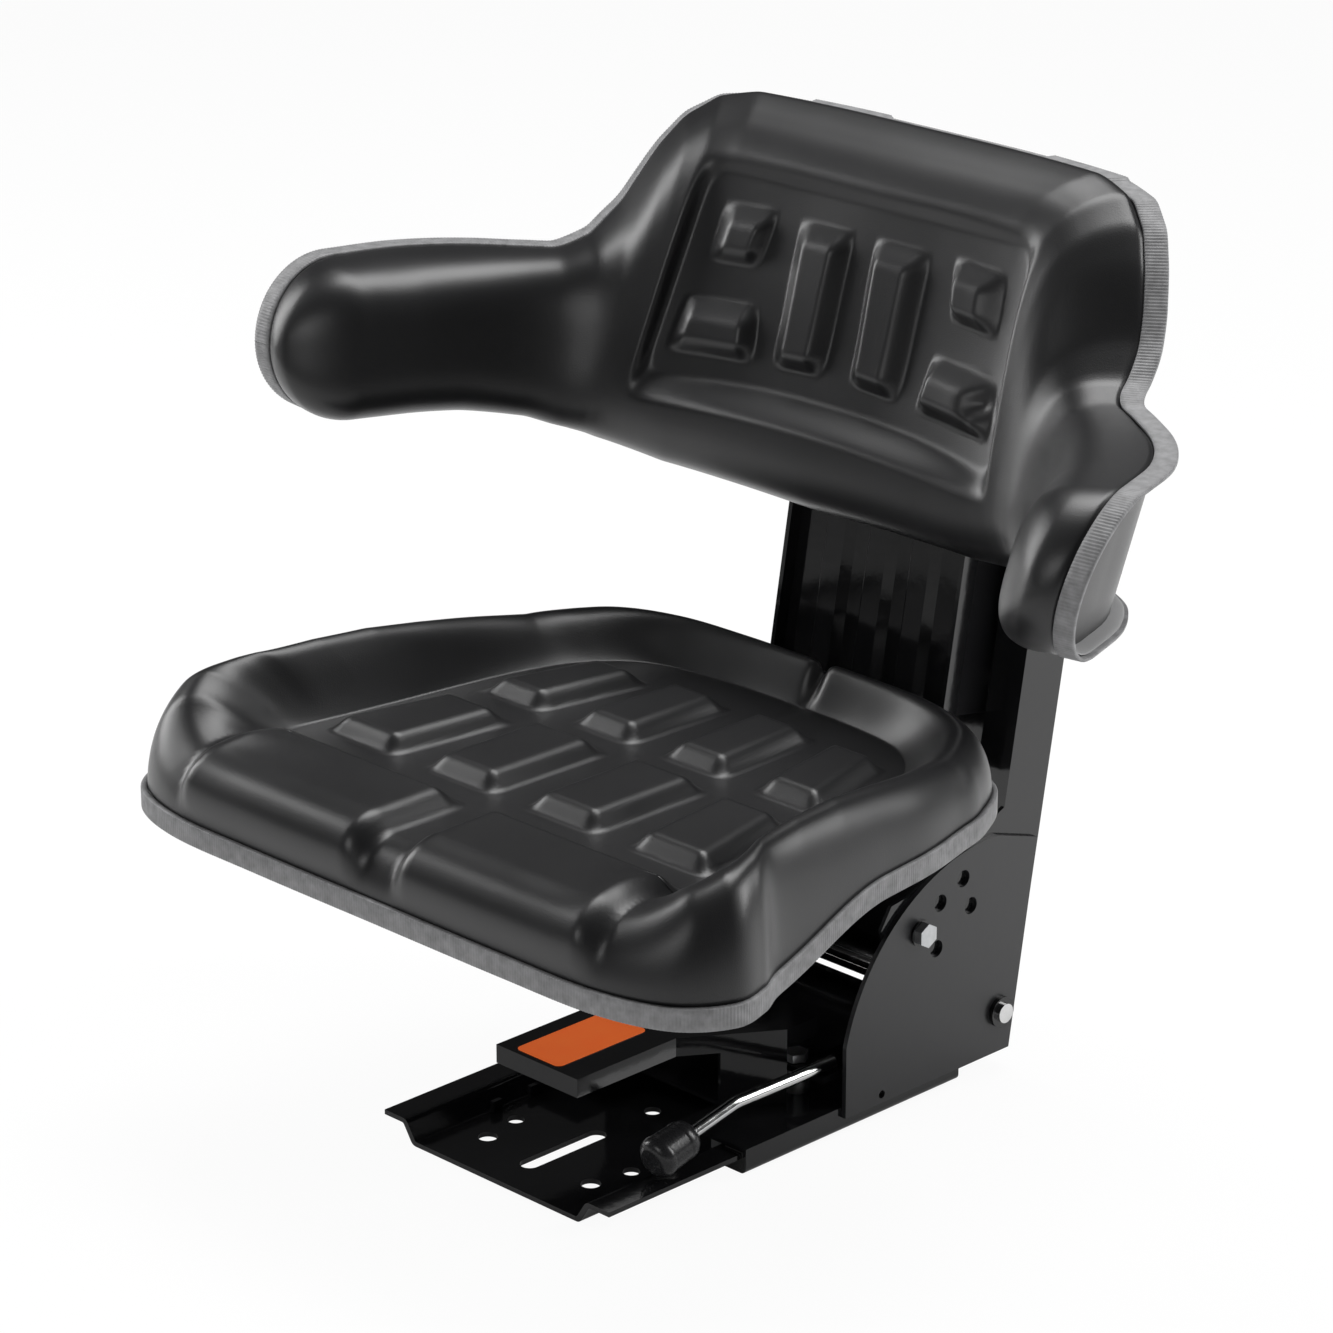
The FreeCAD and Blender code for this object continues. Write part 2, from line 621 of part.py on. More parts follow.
def side_plates():
    for side, label in ((-1, "side_plate_left"), (1, "side_plate_right")):
        body = new_body(label)
        start = dim.rail_outer if side > 0 else -dim.rail_outer - dim.side_sheet
        face = new_sketch(body, "YZ_Plane", start)
        corners = [(dim.side_front, dim.side_bottom), (dim.side_foot_y, dim.side_bottom),
                   (dim.side_rear_y, dim.side_rear), (dim.side_top_y, dim.side_top),
                   (dim.side_front, dim.side_curve_low)]
        outline(face, corners, {3: dim.side_curve})
        for y, z in tilt_hole_places():
            round_hole(face, y, z, dim.tilt_hole)
        round_hole(face, dim.pin_y, dim.pin_z, dim.pin_diameter)
        round_hole(face, dim.weld_hole_y, dim.weld_hole_z, dim.weld_hole)
        pad(body, face, dim.side_sheet)
        keep(body, label)


def pivot_pin():
    """Tilt pin, held by a pressed-on clip at each end."""
    reach = dim.rail_outer + dim.side_sheet
    past = dim.clip_sheet + dim.pin_past_clip
    pin = along_x("pin_shank", -reach - past, 0, 0, (reach + past) * 2, dim.pin_diameter / 2)
    keep(lean_back(group("pivot_pin", [pin])), "pivot_pin")
    clips = []
    for side, tag in ((-1, "left"), (1, "right")):
        ring = along_x(f"clip_ring_{tag}", reach if side > 0 else -reach - dim.clip_sheet, 0, 0, dim.clip_sheet,
                       dim.clip_radius)
        bore = along_x(f"clip_bore_{tag}", reach - 1 if side > 0 else -reach - dim.clip_sheet - 1, 0, 0,
                       dim.clip_sheet + 2, dim.pin_diameter / 2)
        clips.append(cut(f"clip_{tag}", ring, bore))
    keep(lean_back(group("pin_clip", clips)), "pin_clip")


def tilt_bolts():
    """The two bolts that lock the tilt, their washers and nuts."""
    y, z = tilt_hole_places()[0]
    outer = dim.rail_outer + dim.side_sheet
    inner = dim.rail_outer - dim.tower_sheet
    head_from = outer + dim.washer_sheet
    shank_from = inner - dim.nut_tall - dim.bolt_past_nut
    radius = dim.tilt_bolt / 2
    bolts, washers, nuts = [], [], []

    def on_side(name, side, start, length, size):
        return along_x(name, start if side > 0 else -start - length, y, z, length, size)

    for side, tag in ((-1, "left"), (1, "right")):
        shank = on_side(f"bolt_shank_{tag}", side, shank_from, head_from + 1 - shank_from, radius)
        head = hexagon(f"bolt_head_{tag}", head_from if side > 0 else -head_from - dim.tilt_head_tall, y, z,
                       dim.tilt_head_tall, dim.tilt_head_across, SIDEWAYS)
        bolts.append(fuse(f"bolt_{tag}", [shank, head]))
        disc = on_side(f"washer_disc_{tag}", side, outer, dim.washer_sheet, dim.washer_radius)
        hole = on_side(f"washer_hole_{tag}", side, outer - 1, dim.washer_sheet + 2, radius)
        washers.append(cut(f"washer_{tag}", disc, hole))
        nut_body = hexagon(f"nut_body_{tag}", inner - dim.nut_tall if side > 0 else -inner, y, z, dim.nut_tall,
                           dim.tilt_head_across, SIDEWAYS)
        nut_hole = on_side(f"nut_hole_{tag}", side, inner - dim.nut_tall - 1, dim.nut_tall + 2, radius)
        nuts.append(cut(f"nut_{tag}", nut_body, nut_hole))
    keep(group("tilt_bolts", bolts), "tilt_bolts")
    keep(group("tilt_washers", washers), "tilt_washers")
    keep(group("tilt_nuts", nuts), "tilt_nuts")


def tower():
    """Leaning lipped channel with ears reaching forward to the tilt bolts."""
    body = new_body("tower")
    outer = dim.rail_outer
    inner = outer - dim.tower_sheet
    front = -dim.tower_front
    back = dim.tower_rear
    channel = new_sketch(body, "XY_Plane", -dim.tower_foot)
    lip = BRACKET_HALF + dim.lip_gap
    right = [(lip, front), (outer, front), (outer, back)]
    left = [(-Size.of(x), y) for x, y in reversed(right)]
    inside = [(-lip, front + dim.tower_sheet), (-inner, front + dim.tower_sheet),
              (-inner, back - dim.tower_sheet), (inner, back - dim.tower_sheet),
              (inner, front + dim.tower_sheet), (lip, front + dim.tower_sheet)]
    outline(channel, right + left + inside)
    pad(body, channel, dim.tower_top + dim.tower_foot)
    bolt_angle = dim.hole_angle + dim.lean
    bolt = (-dim.outer_radius * bolt_angle.sine(), dim.outer_radius * bolt_angle.cosine())
    for side in (-1, 1):
        ear = new_sketch(body, "YZ_Plane", inner if side > 0 else -outer)
        outline(ear, [(front + 1, dim.ear_low), (bolt[0] + 4, bolt[1] - 24), (-dim.ear_reach + 6, bolt[1] - 12),
                      (-dim.ear_reach, bolt[1] + 4), (-dim.ear_reach + 6, bolt[1] + 18),
                      (bolt[0], bolt[1] + 26), (front + 1, dim.ear_high)])
        pad(body, ear, dim.tower_sheet)
    window = new_sketch(body, "XZ_Plane", -back - 1)
    outline(window, [(-dim.window_half, dim.window_low), (dim.window_half, dim.window_low),
                     (dim.window_half, dim.window_high), (-dim.window_half, dim.window_high)])
    opening = body.newObject("PartDesign::Pocket", "tower_window")
    opening.Profile = window
    opening.setExpression("Length", (dim.tower_sheet + 2).text)
    opening.Reversed = True
    doc.recompute()
    cross = new_sketch(body, "YZ_Plane")
    round_hole(cross, 0, 0, dim.pin_diameter)
    round_hole(cross, bolt[0], bolt[1], dim.tilt_hole)
    round_hole(cross, -dim.ear_reach + 13, bolt[1] + 5, dim.ear_hole)
    pocket(body, cross)
    keep(lean_back(body), "tower")


def tower_cap():
    """Plate over the tower's top that carries the adjuster screw."""
    body = new_body("tower_cap")
    plate = new_sketch(body, "XY_Plane", dim.tower_top)
    outer = dim.rail_outer
    outline(plate, [(-outer, -dim.tower_front), (outer, -dim.tower_front),
                    (outer, dim.tower_rear), (-outer, dim.tower_rear)])
    round_hole(plate, 0, CHANNEL_MIDDLE, dim.screw_diameter + dim.screw_gap * 2)
    pad(body, plate, dim.cap_sheet)
    keep(lean_back(body), "tower_cap")


def front_tray():
    """Pressed bracket on the carriage whose narrow tongue reaches forward under the cushion."""
    body = new_body("front_tray")
    half, wide, wall = dim.tray_half, dim.tray_wide, dim.tray_wall
    nose, neck, shoulder, rear = -dim.tray_front, -dim.tray_neck, dim.tray_wide_y, dim.tray_rear
    deck_low = dim.tray_top - dim.tray_sheet
    lip_low = dim.tray_top - dim.tray_lip
    top = new_sketch(body, "XY_Plane", deck_low)
    outline(top, mirrored([(half, nose), (half, neck), (wide, shoulder), (wide, rear)]))
    pad(body, top, dim.tray_sheet)
    for side in (-1, 1):
        lip = new_sketch(body, "XY_Plane", lip_low)
        outer = [(half, nose), (half, neck), (wide, shoulder), (wide, rear)]
        inner = [(x - wall, y) for x, y in reversed(outer)]
        outline(lip, [(side * x, y) for x, y in outer + inner])
        pad(body, lip, deck_low + 1 - lip_low)
        leg = new_sketch(body, "XY_Plane", dim.rail_top)
        share = 0.4
        foot = (wide - (wide - half) * (1 - share), shoulder - (shoulder - neck) * (1 - share))
        outline(leg, [(side * (foot[0] - wall), foot[1]), (side * foot[0], foot[1]), (side * wide, shoulder),
                      (side * (wide - wall), shoulder)])
        pad(body, leg, deck_low + 1 - dim.rail_top)
    end = new_sketch(body, "XY_Plane", lip_low)
    outline(end, mirrored([(half, nose), (half, nose + wall)]))
    pad(body, end, deck_low + 1 - lip_low)
    keep(body, "front_tray")


# Slide lever

def slide_lever():
    finger_y = dim.lever_y + dim.lever_reach
    body = new_body("lever_plate")
    plate = new_sketch(body, "XY_Plane", dim.lever_z)
    outline(plate, [(dim.lever_x - 8, dim.lever_y - 8), (dim.rod_x + 5, dim.lever_y - 8),
                    (dim.rod_x + 5, dim.lever_y + 8), (dim.lever_x + 4, dim.lever_y + 12),
                    (dim.lever_x + 4, finger_y + 3), (dim.lever_x - 8, finger_y + 3)])
    round_hole(plate, dim.lever_x, dim.lever_y, dim.lever_bolt + 0.1)
    pad(body, plate, dim.lever_sheet)
    finger = new_sketch(body, "XY_Plane", dim.base_sheet + 1)
    outline(finger, [(dim.rack_inner - 6, finger_y - 3), (dim.rack_inner - 0.6, finger_y - 3),
                     (dim.rack_inner - 0.6, finger_y + 3), (dim.rack_inner - 6, finger_y + 3)])
    pad(body, finger, dim.lever_z - dim.base_sheet)
    keep(body, "lever_plate")

    level = dim.lever_z + dim.lever_sheet + dim.rod_diameter / 2
    points = [Vector(dim.rod_x.value, dim.lever_y.value + 6, level.value),
              Vector(dim.rod_x.value, -dim.rod_bend_y.value, level.value + 1),
              Vector(dim.rod_x.value, -dim.rod_end_y.value, dim.rod_end_z.value)]
    turn = dim.rod_bend.value
    into = (points[1] - points[0]).normalize()
    out = (points[2] - points[1]).normalize()
    trim = turn * math.tan(into.getAngle(out) / 2)
    start = points[1] - into * trim
    end = points[1] + out * trim
    middle_way = (out - into).normalize()
    centre = points[1] + middle_way * (turn / math.cos(into.getAngle(out) / 2))
    middle = centre + (points[1] - centre).normalize() * turn
    wire = Part.Wire([Part.LineSegment(points[0], start).toShape(), Part.Arc(start, middle, end).toShape(),
                      Part.LineSegment(end, points[2]).toShape()])
    ring = Part.Wire(Part.Circle(points[0], into, dim.rod_diameter.value / 2).toShape())
    rod = doc.addObject("Part::Feature", "lever_rod")
    rod.Shape = wire.makePipeShell([ring], True, False)
    keep(rod, "lever_rod")

    bore, grip, long = dim.rod_diameter.value / 2 + 0.05, dim.grip_radius.value, dim.grip_length.value
    deep = dim.grip_bore_deep.value
    knob_start = points[2] - out * (deep - 0.5)

    def at(radius, height):
        return Vector(radius, 0, height)

    sides = [Part.LineSegment(at(bore, deep), at(bore, 0)), Part.LineSegment(at(bore, 0), at(0.64 * grip, 0)),
             Part.Arc(at(0.64 * grip, 0), at(0.86 * grip, 0.09 * long), at(0.95 * grip, 0.3 * long)),
             Part.LineSegment(at(0.95 * grip, 0.3 * long), at(grip, 0.72 * long)),
             Part.Arc(at(grip, 0.72 * long), at(0.9 * grip, 0.93 * long), at(0.62 * grip, long)),
             Part.LineSegment(at(0.62 * grip, long), at(0, long)), Part.LineSegment(at(0, long), at(0, deep)),
             Part.LineSegment(at(0, deep), at(bore, deep))]
    ring = Part.Wire([side.toShape() for side in sides])
    solid = Part.Face(ring).revolve(Vector(0, 0, 0), Vector(0, 0, 1), 360)
    knob = doc.addObject("Part::Feature", "lever_knob")
    knob.Shape = solid
    knob.Placement = Placement(knob_start, Rotation(Vector(0, 0, 1), out))
    keep(knob, "lever_knob")

    post_tall = dim.lever_z - dim.rail_top - dim.rest_gap
    head_low = dim.lever_z + dim.lever_sheet + dim.rest_gap
    post = upright("lever_post", dim.lever_x, dim.lever_y, dim.rail_top, post_tall, dim.lever_bolt)
    shank = upright("lever_shank", dim.lever_x, dim.lever_y, dim.rail_top - 2, head_low + 3 - dim.rail_top,
                    dim.lever_bolt / 2)
    head = hexagon("lever_head", dim.lever_x, dim.lever_y, head_low, 5, dim.frame_head_across)
    keep(fuse("lever_pivot", [post, shank, head]), "lever_pivot")


# Roller carriage, rollers, springs and weight adjuster, drawn upright about the tilt pin

def roller_brackets():
    """Two plates from the ribbed panel back into the tower, one for each pair of rollers."""
    for side, label in ((-1, "roller_bracket_left"), (1, "roller_bracket_right")):
        body = new_body(label)
        face = new_sketch(body, "YZ_Plane", BRACKET_HALF - dim.bracket_sheet if side > 0 else -BRACKET_HALF)
        front = -dim.panel_face + dim.panel_sheet
        back = CHANNEL_MIDDLE + dim.axle_diameter + 1
        low, high = dim.roller_low - dim.bracket_foot, dim.roller_high + dim.bracket_past
        outline(face, [(front, low), (back, low), (back, high), (front, high)])
        for height in (dim.roller_low, dim.roller_high):
            round_hole(face, CHANNEL_MIDDLE, height, dim.axle_diameter)
        pad(body, face, dim.bracket_sheet)
        keep(lean_back(body), label)


def roller_places():
    """Side, name and height of each roller."""
    for side, across in ((-1, "left"), (1, "right")):
        for height, level in ((dim.roller_low, "lower"), (dim.roller_high, "upper")):
            yield side, f"{level}_{across}", height


def roller_axles():
    """A stub axle for each roller: its head inside the bracket and a collar between bracket and roller."""
    axles = []
    for side, tag, height in roller_places():
        def on_side(name, start, length, radius):
            left = start if side > 0 else -start - length
            return along_x(f"axle_{name}_{tag}", left, CHANNEL_MIDDLE, height, length, radius)

        head_from = BRACKET_HALF - dim.bracket_sheet - 4
        shank = on_side("shank", head_from, ROLLER_SIDE + dim.roller_width + 1.5 - head_from, dim.axle_diameter / 2)
        collar = on_side("collar", BRACKET_HALF, dim.bracket_gap - dim.rest_gap, dim.axle_diameter / 2 + 3)
        head = on_side("head", head_from, 4, dim.axle_diameter / 2 + 2.5)
        axles.append(fuse(f"axle_{tag}", [shank, collar, head]))
    keep(lean_back(group("roller_axles", axles)), "roller_axles")


def rollers():
    for side, tag, height in roller_places():
        label = f"roller_{tag}"
        start = ROLLER_SIDE if side > 0 else -ROLLER_SIDE - dim.roller_width
        tyre = along_x(label + "_tyre", start, CHANNEL_MIDDLE, height, dim.roller_width, dim.roller_radius)
        bore = along_x(label + "_bore", start - 1, CHANNEL_MIDDLE, height, dim.roller_width + 2,
                       dim.axle_diameter / 2 + dim.axle_gap)
        keep(lean_back(cut(label, tyre, bore)), label)


def spring_gear():
    """Bar between the brackets, crosshead on the adjuster screw, and the two springs between them."""
    bar_level = dim.roller_low - dim.spring_bar_drop
    bar_half = BRACKET_HALF - dim.bracket_sheet
    bar = along_x("bar_rod", -bar_half, CHANNEL_MIDDLE, bar_level, bar_half * 2, dim.spring_wire)
    keep(lean_back(group("spring_bar", [bar])), "spring_bar")

    top = dim.crosshead_high
    half, deep, tall = dim.crosshead_half, dim.crosshead_deep, dim.crosshead_tall
    beam = block("crosshead_beam", -half, CHANNEL_MIDDLE - deep / 2, top, half * 2, deep, tall)
    hook_radius = dim.spring_wire / 2 + 0.4
    holes = [upright("crosshead_hole", 0, CHANNEL_MIDDLE, top - 1, tall + 2, dim.screw_diameter / 2 + dim.screw_gap)]
    for side in (-1, 1):
        holes.append(upright(f"hook_hole_{side + 1}", side * dim.spring_x, CHANNEL_MIDDLE, top - 1, tall + 2,
                             hook_radius))
    keep(lean_back(cut("crosshead", beam, fuse("crosshead_holes", holes))), "crosshead")

    for side, label in ((-1, "tension_spring_left"), (1, "tension_spring_right")):
        spring = doc.addObject("Part::Feature", label)
        spring.Shape = spring_shape(side * dim.spring_x.value, bar_level.value, top.value)
        keep(lean_back(spring), label)


def spring_shape(x, bar_level, beam_low):
    """Coil with a loop round the bar below and a straight tail with a button over the crosshead."""
    wire = dim.spring_wire.value / 2
    reach = dim.spring_radius.value - wire
    coil_low, coil_high = bar_level + 20, beam_low - 10
    pitch = (coil_high - coil_low) / dim.spring_turns.value
    axis = Vector(x, CHANNEL_MIDDLE.value, 0)

    def up(height):
        return axis + Vector(0, 0, height)

    helix = Part.makeHelix(pitch, coil_high - coil_low, reach)
    helix.translate(up(coil_low))
    ring = Part.Wire(Part.Circle(helix.Vertexes[0].Point, Vector(0, 1, 0), wire).toShape())
    coil = Part.Wire(helix.Edges).makePipeShell([ring], True, True)
    loop_radius = wire * 2 + dim.rest_gap.value + 2
    loop = Part.makeTorus(loop_radius, wire, up(bar_level), Vector(1, 0, 0))
    tail_low = bar_level + loop_radius
    button_low = beam_low + dim.crosshead_tall.value + dim.rest_gap.value
    pieces = [loop, Part.makeCylinder(wire, coil_low - tail_low, up(tail_low)),
              Part.makeCylinder(wire, button_low + 3 - coil_high, up(coil_high)),
              Part.makeCylinder(wire + 3, 3, up(button_low))]
    for height in (coil_low, coil_high):
        pieces.append(Part.makeCylinder(wire, reach + 0.7, up(height), Vector(1, 0, 0)))
    return coil.multiFuse(pieces)


def stops():
    """Rubber stops on the tower for the brackets, at the bottom and at the top of the travel."""
    low_top = dim.roller_low - dim.bracket_foot - dim.travel - dim.rest_gap
    high_low = dim.roller_high + dim.bracket_past + dim.rest_gap
    wide, tall = dim.stop_wide, dim.stop_tall
    inner = BRACKET_HALF - dim.bracket_sheet / 2 - wide / 2
    bumps, rebounds = [], []
    for side in (-1, 1):
        x = inner if side > 0 else -inner - wide
        bumps.append(block(f"bump_{side + 1}", x, CHANNEL_MIDDLE, low_top - tall, wide,
                           dim.tower_rear - dim.tower_sheet - CHANNEL_MIDDLE, tall))
        rebounds.append(block(f"rebound_{side + 1}", x, CHANNEL_MIDDLE - wide / 2, high_low, wide, wide,
                              dim.tower_top - high_low))
    keep(lean_back(group("bump_stops", bumps)), "bump_stops")
    keep(lean_back(group("rebound_stops", rebounds)), "rebound_stops")


def adjuster():
    """Screw with a lobed knob that draws the crosshead up and so sets the springs for the sitter's weight."""
    low = dim.crosshead_high - 40
    seat = dim.tower_top + dim.cap_sheet + dim.rest_gap
    top = seat + dim.hub_tall + dim.knob_tall
    screw = upright("screw_rod", 0, CHANNEL_MIDDLE, low, top - 0.3 - low, dim.screw_diameter / 2)
    keep(lean_back(group("adjuster_screw", [screw])), "adjuster_screw")
    hub = upright("knob_hub", 0, CHANNEL_MIDDLE, seat, dim.hub_tall, dim.hub_radius)
    disc = upright("knob_disc", 0, CHANNEL_MIDDLE, seat + dim.hub_tall, dim.knob_tall, dim.knob_radius)
    dents = []
    for turn in range(6):
        angle = math.radians(60 * turn)
        dents.append(upright(f"knob_dent_{turn}", (dim.knob_radius + 4) * math.cos(angle),
                             CHANNEL_MIDDLE + (dim.knob_radius + 4) * math.sin(angle), seat + dim.hub_tall - 1,
                             dim.knob_tall + 2, 8))
    bore = upright("knob_bore", 0, CHANNEL_MIDDLE, seat - 1, top - seat + 2, dim.screw_diameter / 2)
    body = cut("knob_dented", fuse("knob_blank", [hub, disc]), fuse("knob_dents", dents))
    keep(lean_back(cut("adjuster_knob", body, bore)), "adjuster_knob")


# Seat frame: ribbed panel with a leg under the cushion

def leaning_line(ahead, z):
    """Where a face that leans with the tower, so far ahead of the pin, lies at one height."""
    return dim.pin_y + ((z - dim.pin_z) * dim.lean.sine() - ahead) / dim.lean.cosine()


def seat_panel():
    body = new_body("seat_panel")
    face = -dim.panel_face
    back = face + dim.panel_sheet
    low = (dim.leg_top - dim.leg_sheet - dim.pin_z - dim.panel_face * dim.lean.sine()) / dim.lean.cosine()
    section = new_sketch(body, "XY_Plane", low)
    half = dim.panel_half
    ridge = []
    for step in (1, 0, -1):
        centre = dim.rib_pitch * step
        foot = dim.rib_half + dim.rib_slope
        ridge += [(centre + foot, face), (centre + dim.rib_half, face - dim.rib_rise),
                  (centre - dim.rib_half, face - dim.rib_rise), (centre - foot, face)]
    inner = half - dim.panel_sheet
    front_line = [(half, back), (half, face - dim.panel_flange), (inner, face - dim.panel_flange), (inner, face)]
    back_line = [(-inner, face), (-inner, face - dim.panel_flange), (-half, face - dim.panel_flange), (-half, back)]
    hollow = [(x, y + dim.panel_sheet) for x, y in reversed(ridge)]
    outline(section, front_line + ridge + back_line + hollow)
    pad(body, section, dim.panel_top - low)
    keep(lean_back(body), "seat_panel")


def seat_leg():
    """Flat leg of the frame that carries the cushion pan, with its welded channels."""
    body = new_body("seat_leg")
    low = dim.leg_top - dim.leg_sheet
    plate = new_sketch(body, "XY_Plane", low)
    joint = leaning_line(dim.panel_face + dim.rib_rise, low)
    half = dim.panel_half - dim.panel_sheet - dim.rest_gap
    outline(plate, [(-half, -dim.leg_front), (half, -dim.leg_front), (half, joint), (-half, joint)])
    pad(body, plate, dim.leg_sheet)
    keep(body, "seat_leg")


def back_spacers():
    """Wedge-shaped spacers between the ribbed panel and the backrest shell."""
    def panel_line(z):
        return leaning_line(dim.panel_face + dim.rib_rise, z)

    def shell_line(z):
        return dim.back_y + dim.back_slope * (z - dim.wing_z) + dim.shell_depth + dim.rest_gap

    low, high = dim.spacer_low, dim.spacer_high
    for side, label in ((-1, "back_spacer_left"), (1, "back_spacer_right")):
        body = new_body(label)
        face = new_sketch(body, "YZ_Plane", dim.spacer_inner if side > 0 else -dim.spacer_inner - dim.spacer_wide)
        outline(face, [(shell_line(low), low), (panel_line(low), low), (panel_line(high), high),
                       (shell_line(high), high)])
        pad(body, face, dim.spacer_wide)
        keep(body, label)


def frame_bolts():
    """Bolt heads behind the panel, for the backrest, and under the leg, for the pan."""
    heads = []
    back = -dim.panel_face + dim.panel_sheet
    rearward = Rotation(Vector(1, 0, 0), -90)
    across = dim.spacer_inner + dim.spacer_wide / 2
    for side in (-1, 1):
        for height, level in ((dim.back_bolt_low, "low"), (dim.back_bolt_high, "high")):
            heads.append(hexagon(f"panel_bolt_{level}_{side + 1}", side * across, back, height, dim.frame_head_tall,
                                 dim.frame_head_across, rearward))
    keep(lean_back(group("back_bolts", heads)), "back_bolts")
    heads = []
    for side in (-1, 1):
        for y, end in ((-dim.pan_bolt_front, "front"), (dim.pan_bolt_rear, "rear")):
            heads.append(hexagon(f"leg_bolt_{end}_{side + 1}", side * dim.rail_x, y,
                                 dim.leg_top - dim.leg_sheet - dim.frame_head_tall, dim.frame_head_tall,
                                 dim.frame_head_across))
    keep(group("pan_bolts", heads), "pan_bolts")


# Cushion: pan, edge trim and foam, built on one plan outline and one edge line

def spline_through(points, closed=False):
    curve = Part.BSplineCurve()
    curve.interpolate(Points=points, PeriodicFlag=closed)
    return curve.toShape()


def cushion_plan(inset, z):
    """The cushion's closed plan outline at one height, drawn in by inset all round."""
    front, rear, half = dim.cushion_front.value, dim.cushion_rear.value, dim.cushion_half.value
    waist, tail = dim.waist_half.value, dim.tail_half.value
    right = [(0, -front), (0.42 * half, -front), (0.72 * half, 2 - front), (0.91 * half, 16 - front),
             (half, 43 - front), (half - 3, 68 - front), (half - 14, 92 - front), (waist + 14, 138 - front),
             (waist + 6, -30), (waist, 13), (waist - 9, 48), (0.45 * waist + 0.58 * tail, 77),
             (tail, 111), (0.7 * tail, rear - 3), (0.35 * tail, rear), (0, rear)]
    outline_points = right + [(-x, y) for x, y in reversed(right[1:-1])]
    middle = (rear - front) / 2
    reach = (rear + front) / 2
    across = (half - 20 - inset) / (half - 20)
    along = (reach - inset) / reach
    return [Vector(x * across, middle + (y - middle) * along, z) for x, y in outline_points]


def smooth(value, low, high):
    t = min(max((value - low) / (high - low), 0), 1)
    return t * t * (3 - 2 * t)


def edge_height(y):
    """Height of the trim's underside, which kicks up behind the thighs."""
    kick = smooth(y, -dim.kick_front.value, -dim.kick_rear.value)
    return dim.edge_front.value + (dim.edge_rear.value - dim.edge_front.value) * kick


def edge_band(low, high):
    """Everything between two heights above the trim's underside."""
    def edge_line(rise):
        front, rear = dim.edge_front.value + rise, dim.edge_rear.value + rise
        starts, ends_at = -dim.kick_front.value, -dim.kick_rear.value
        half_way = (starts + ends_at) / 2
        bend = Part.BezierCurve()
        bend.setPoles([Vector(0, starts, front), Vector(0, half_way, front), Vector(0, half_way, rear),
                       Vector(0, ends_at, rear)])
        return [Part.LineSegment(Vector(0, -300, front), Vector(0, starts, front)).toShape(), bend.toShape(),
                Part.LineSegment(Vector(0, ends_at, rear), Vector(0, 220, rear)).toShape()]
    lower, upper = edge_line(low), edge_line(high)
    ends = [Part.LineSegment(lower[-1].Vertexes[-1].Point, upper[-1].Vertexes[-1].Point).toShape(),
            Part.LineSegment(lower[0].Vertexes[0].Point, upper[0].Vertexes[0].Point).toShape()]
    wire = Part.Wire(Part.__sortEdges__(lower + upper + ends))
    return Part.Face(wire).extrude(Vector(600, 0, 0)).translated(Vector(-300, 0, 0))


def plan_prism(inset):
    ring = Part.Wire(spline_through(cushion_plan(inset, 100), True))
    return Part.Face(ring).extrude(Vector(0, 0, 250))


def rounded_slab(corners, low, high, draft, corner=6):
    """A raised block: a four-sided plan with round corners whose sides draw in towards the top."""
    middle = Vector(sum(x for x, y in corners) / 4, sum(y for x, y in corners) / 4, 0)
    wires = []
    for height, inset in ((low, 0), (high - 2, draft - 2), (high, draft + 0.5)):
        points = []
        for x, y in corners:
            away = Vector(x, y, 0) - middle
            points.append(Vector(x - math.copysign(inset, away.x), y - math.copysign(inset, away.y), height))
        edges = []
        for index in range(4):
            before, here, after = points[index - 1], points[index], points[(index + 1) % 4]
            into = (before - here).normalize()
            out = (after - here).normalize()
            start, end = here + into * corner, here + out * corner
            edges.append((start, here + (into + out).normalize() * corner * 0.42, end))
        loop = []
        for index in range(4):
            start, tip, end = edges[index]
            loop.append(Part.Arc(start, tip, end).toShape())
            loop.append(Part.LineSegment(end, edges[(index + 1) % 4][0]).toShape())
        wires.append(Part.Wire(loop))
    return Part.makeLoft(wires, True, True)


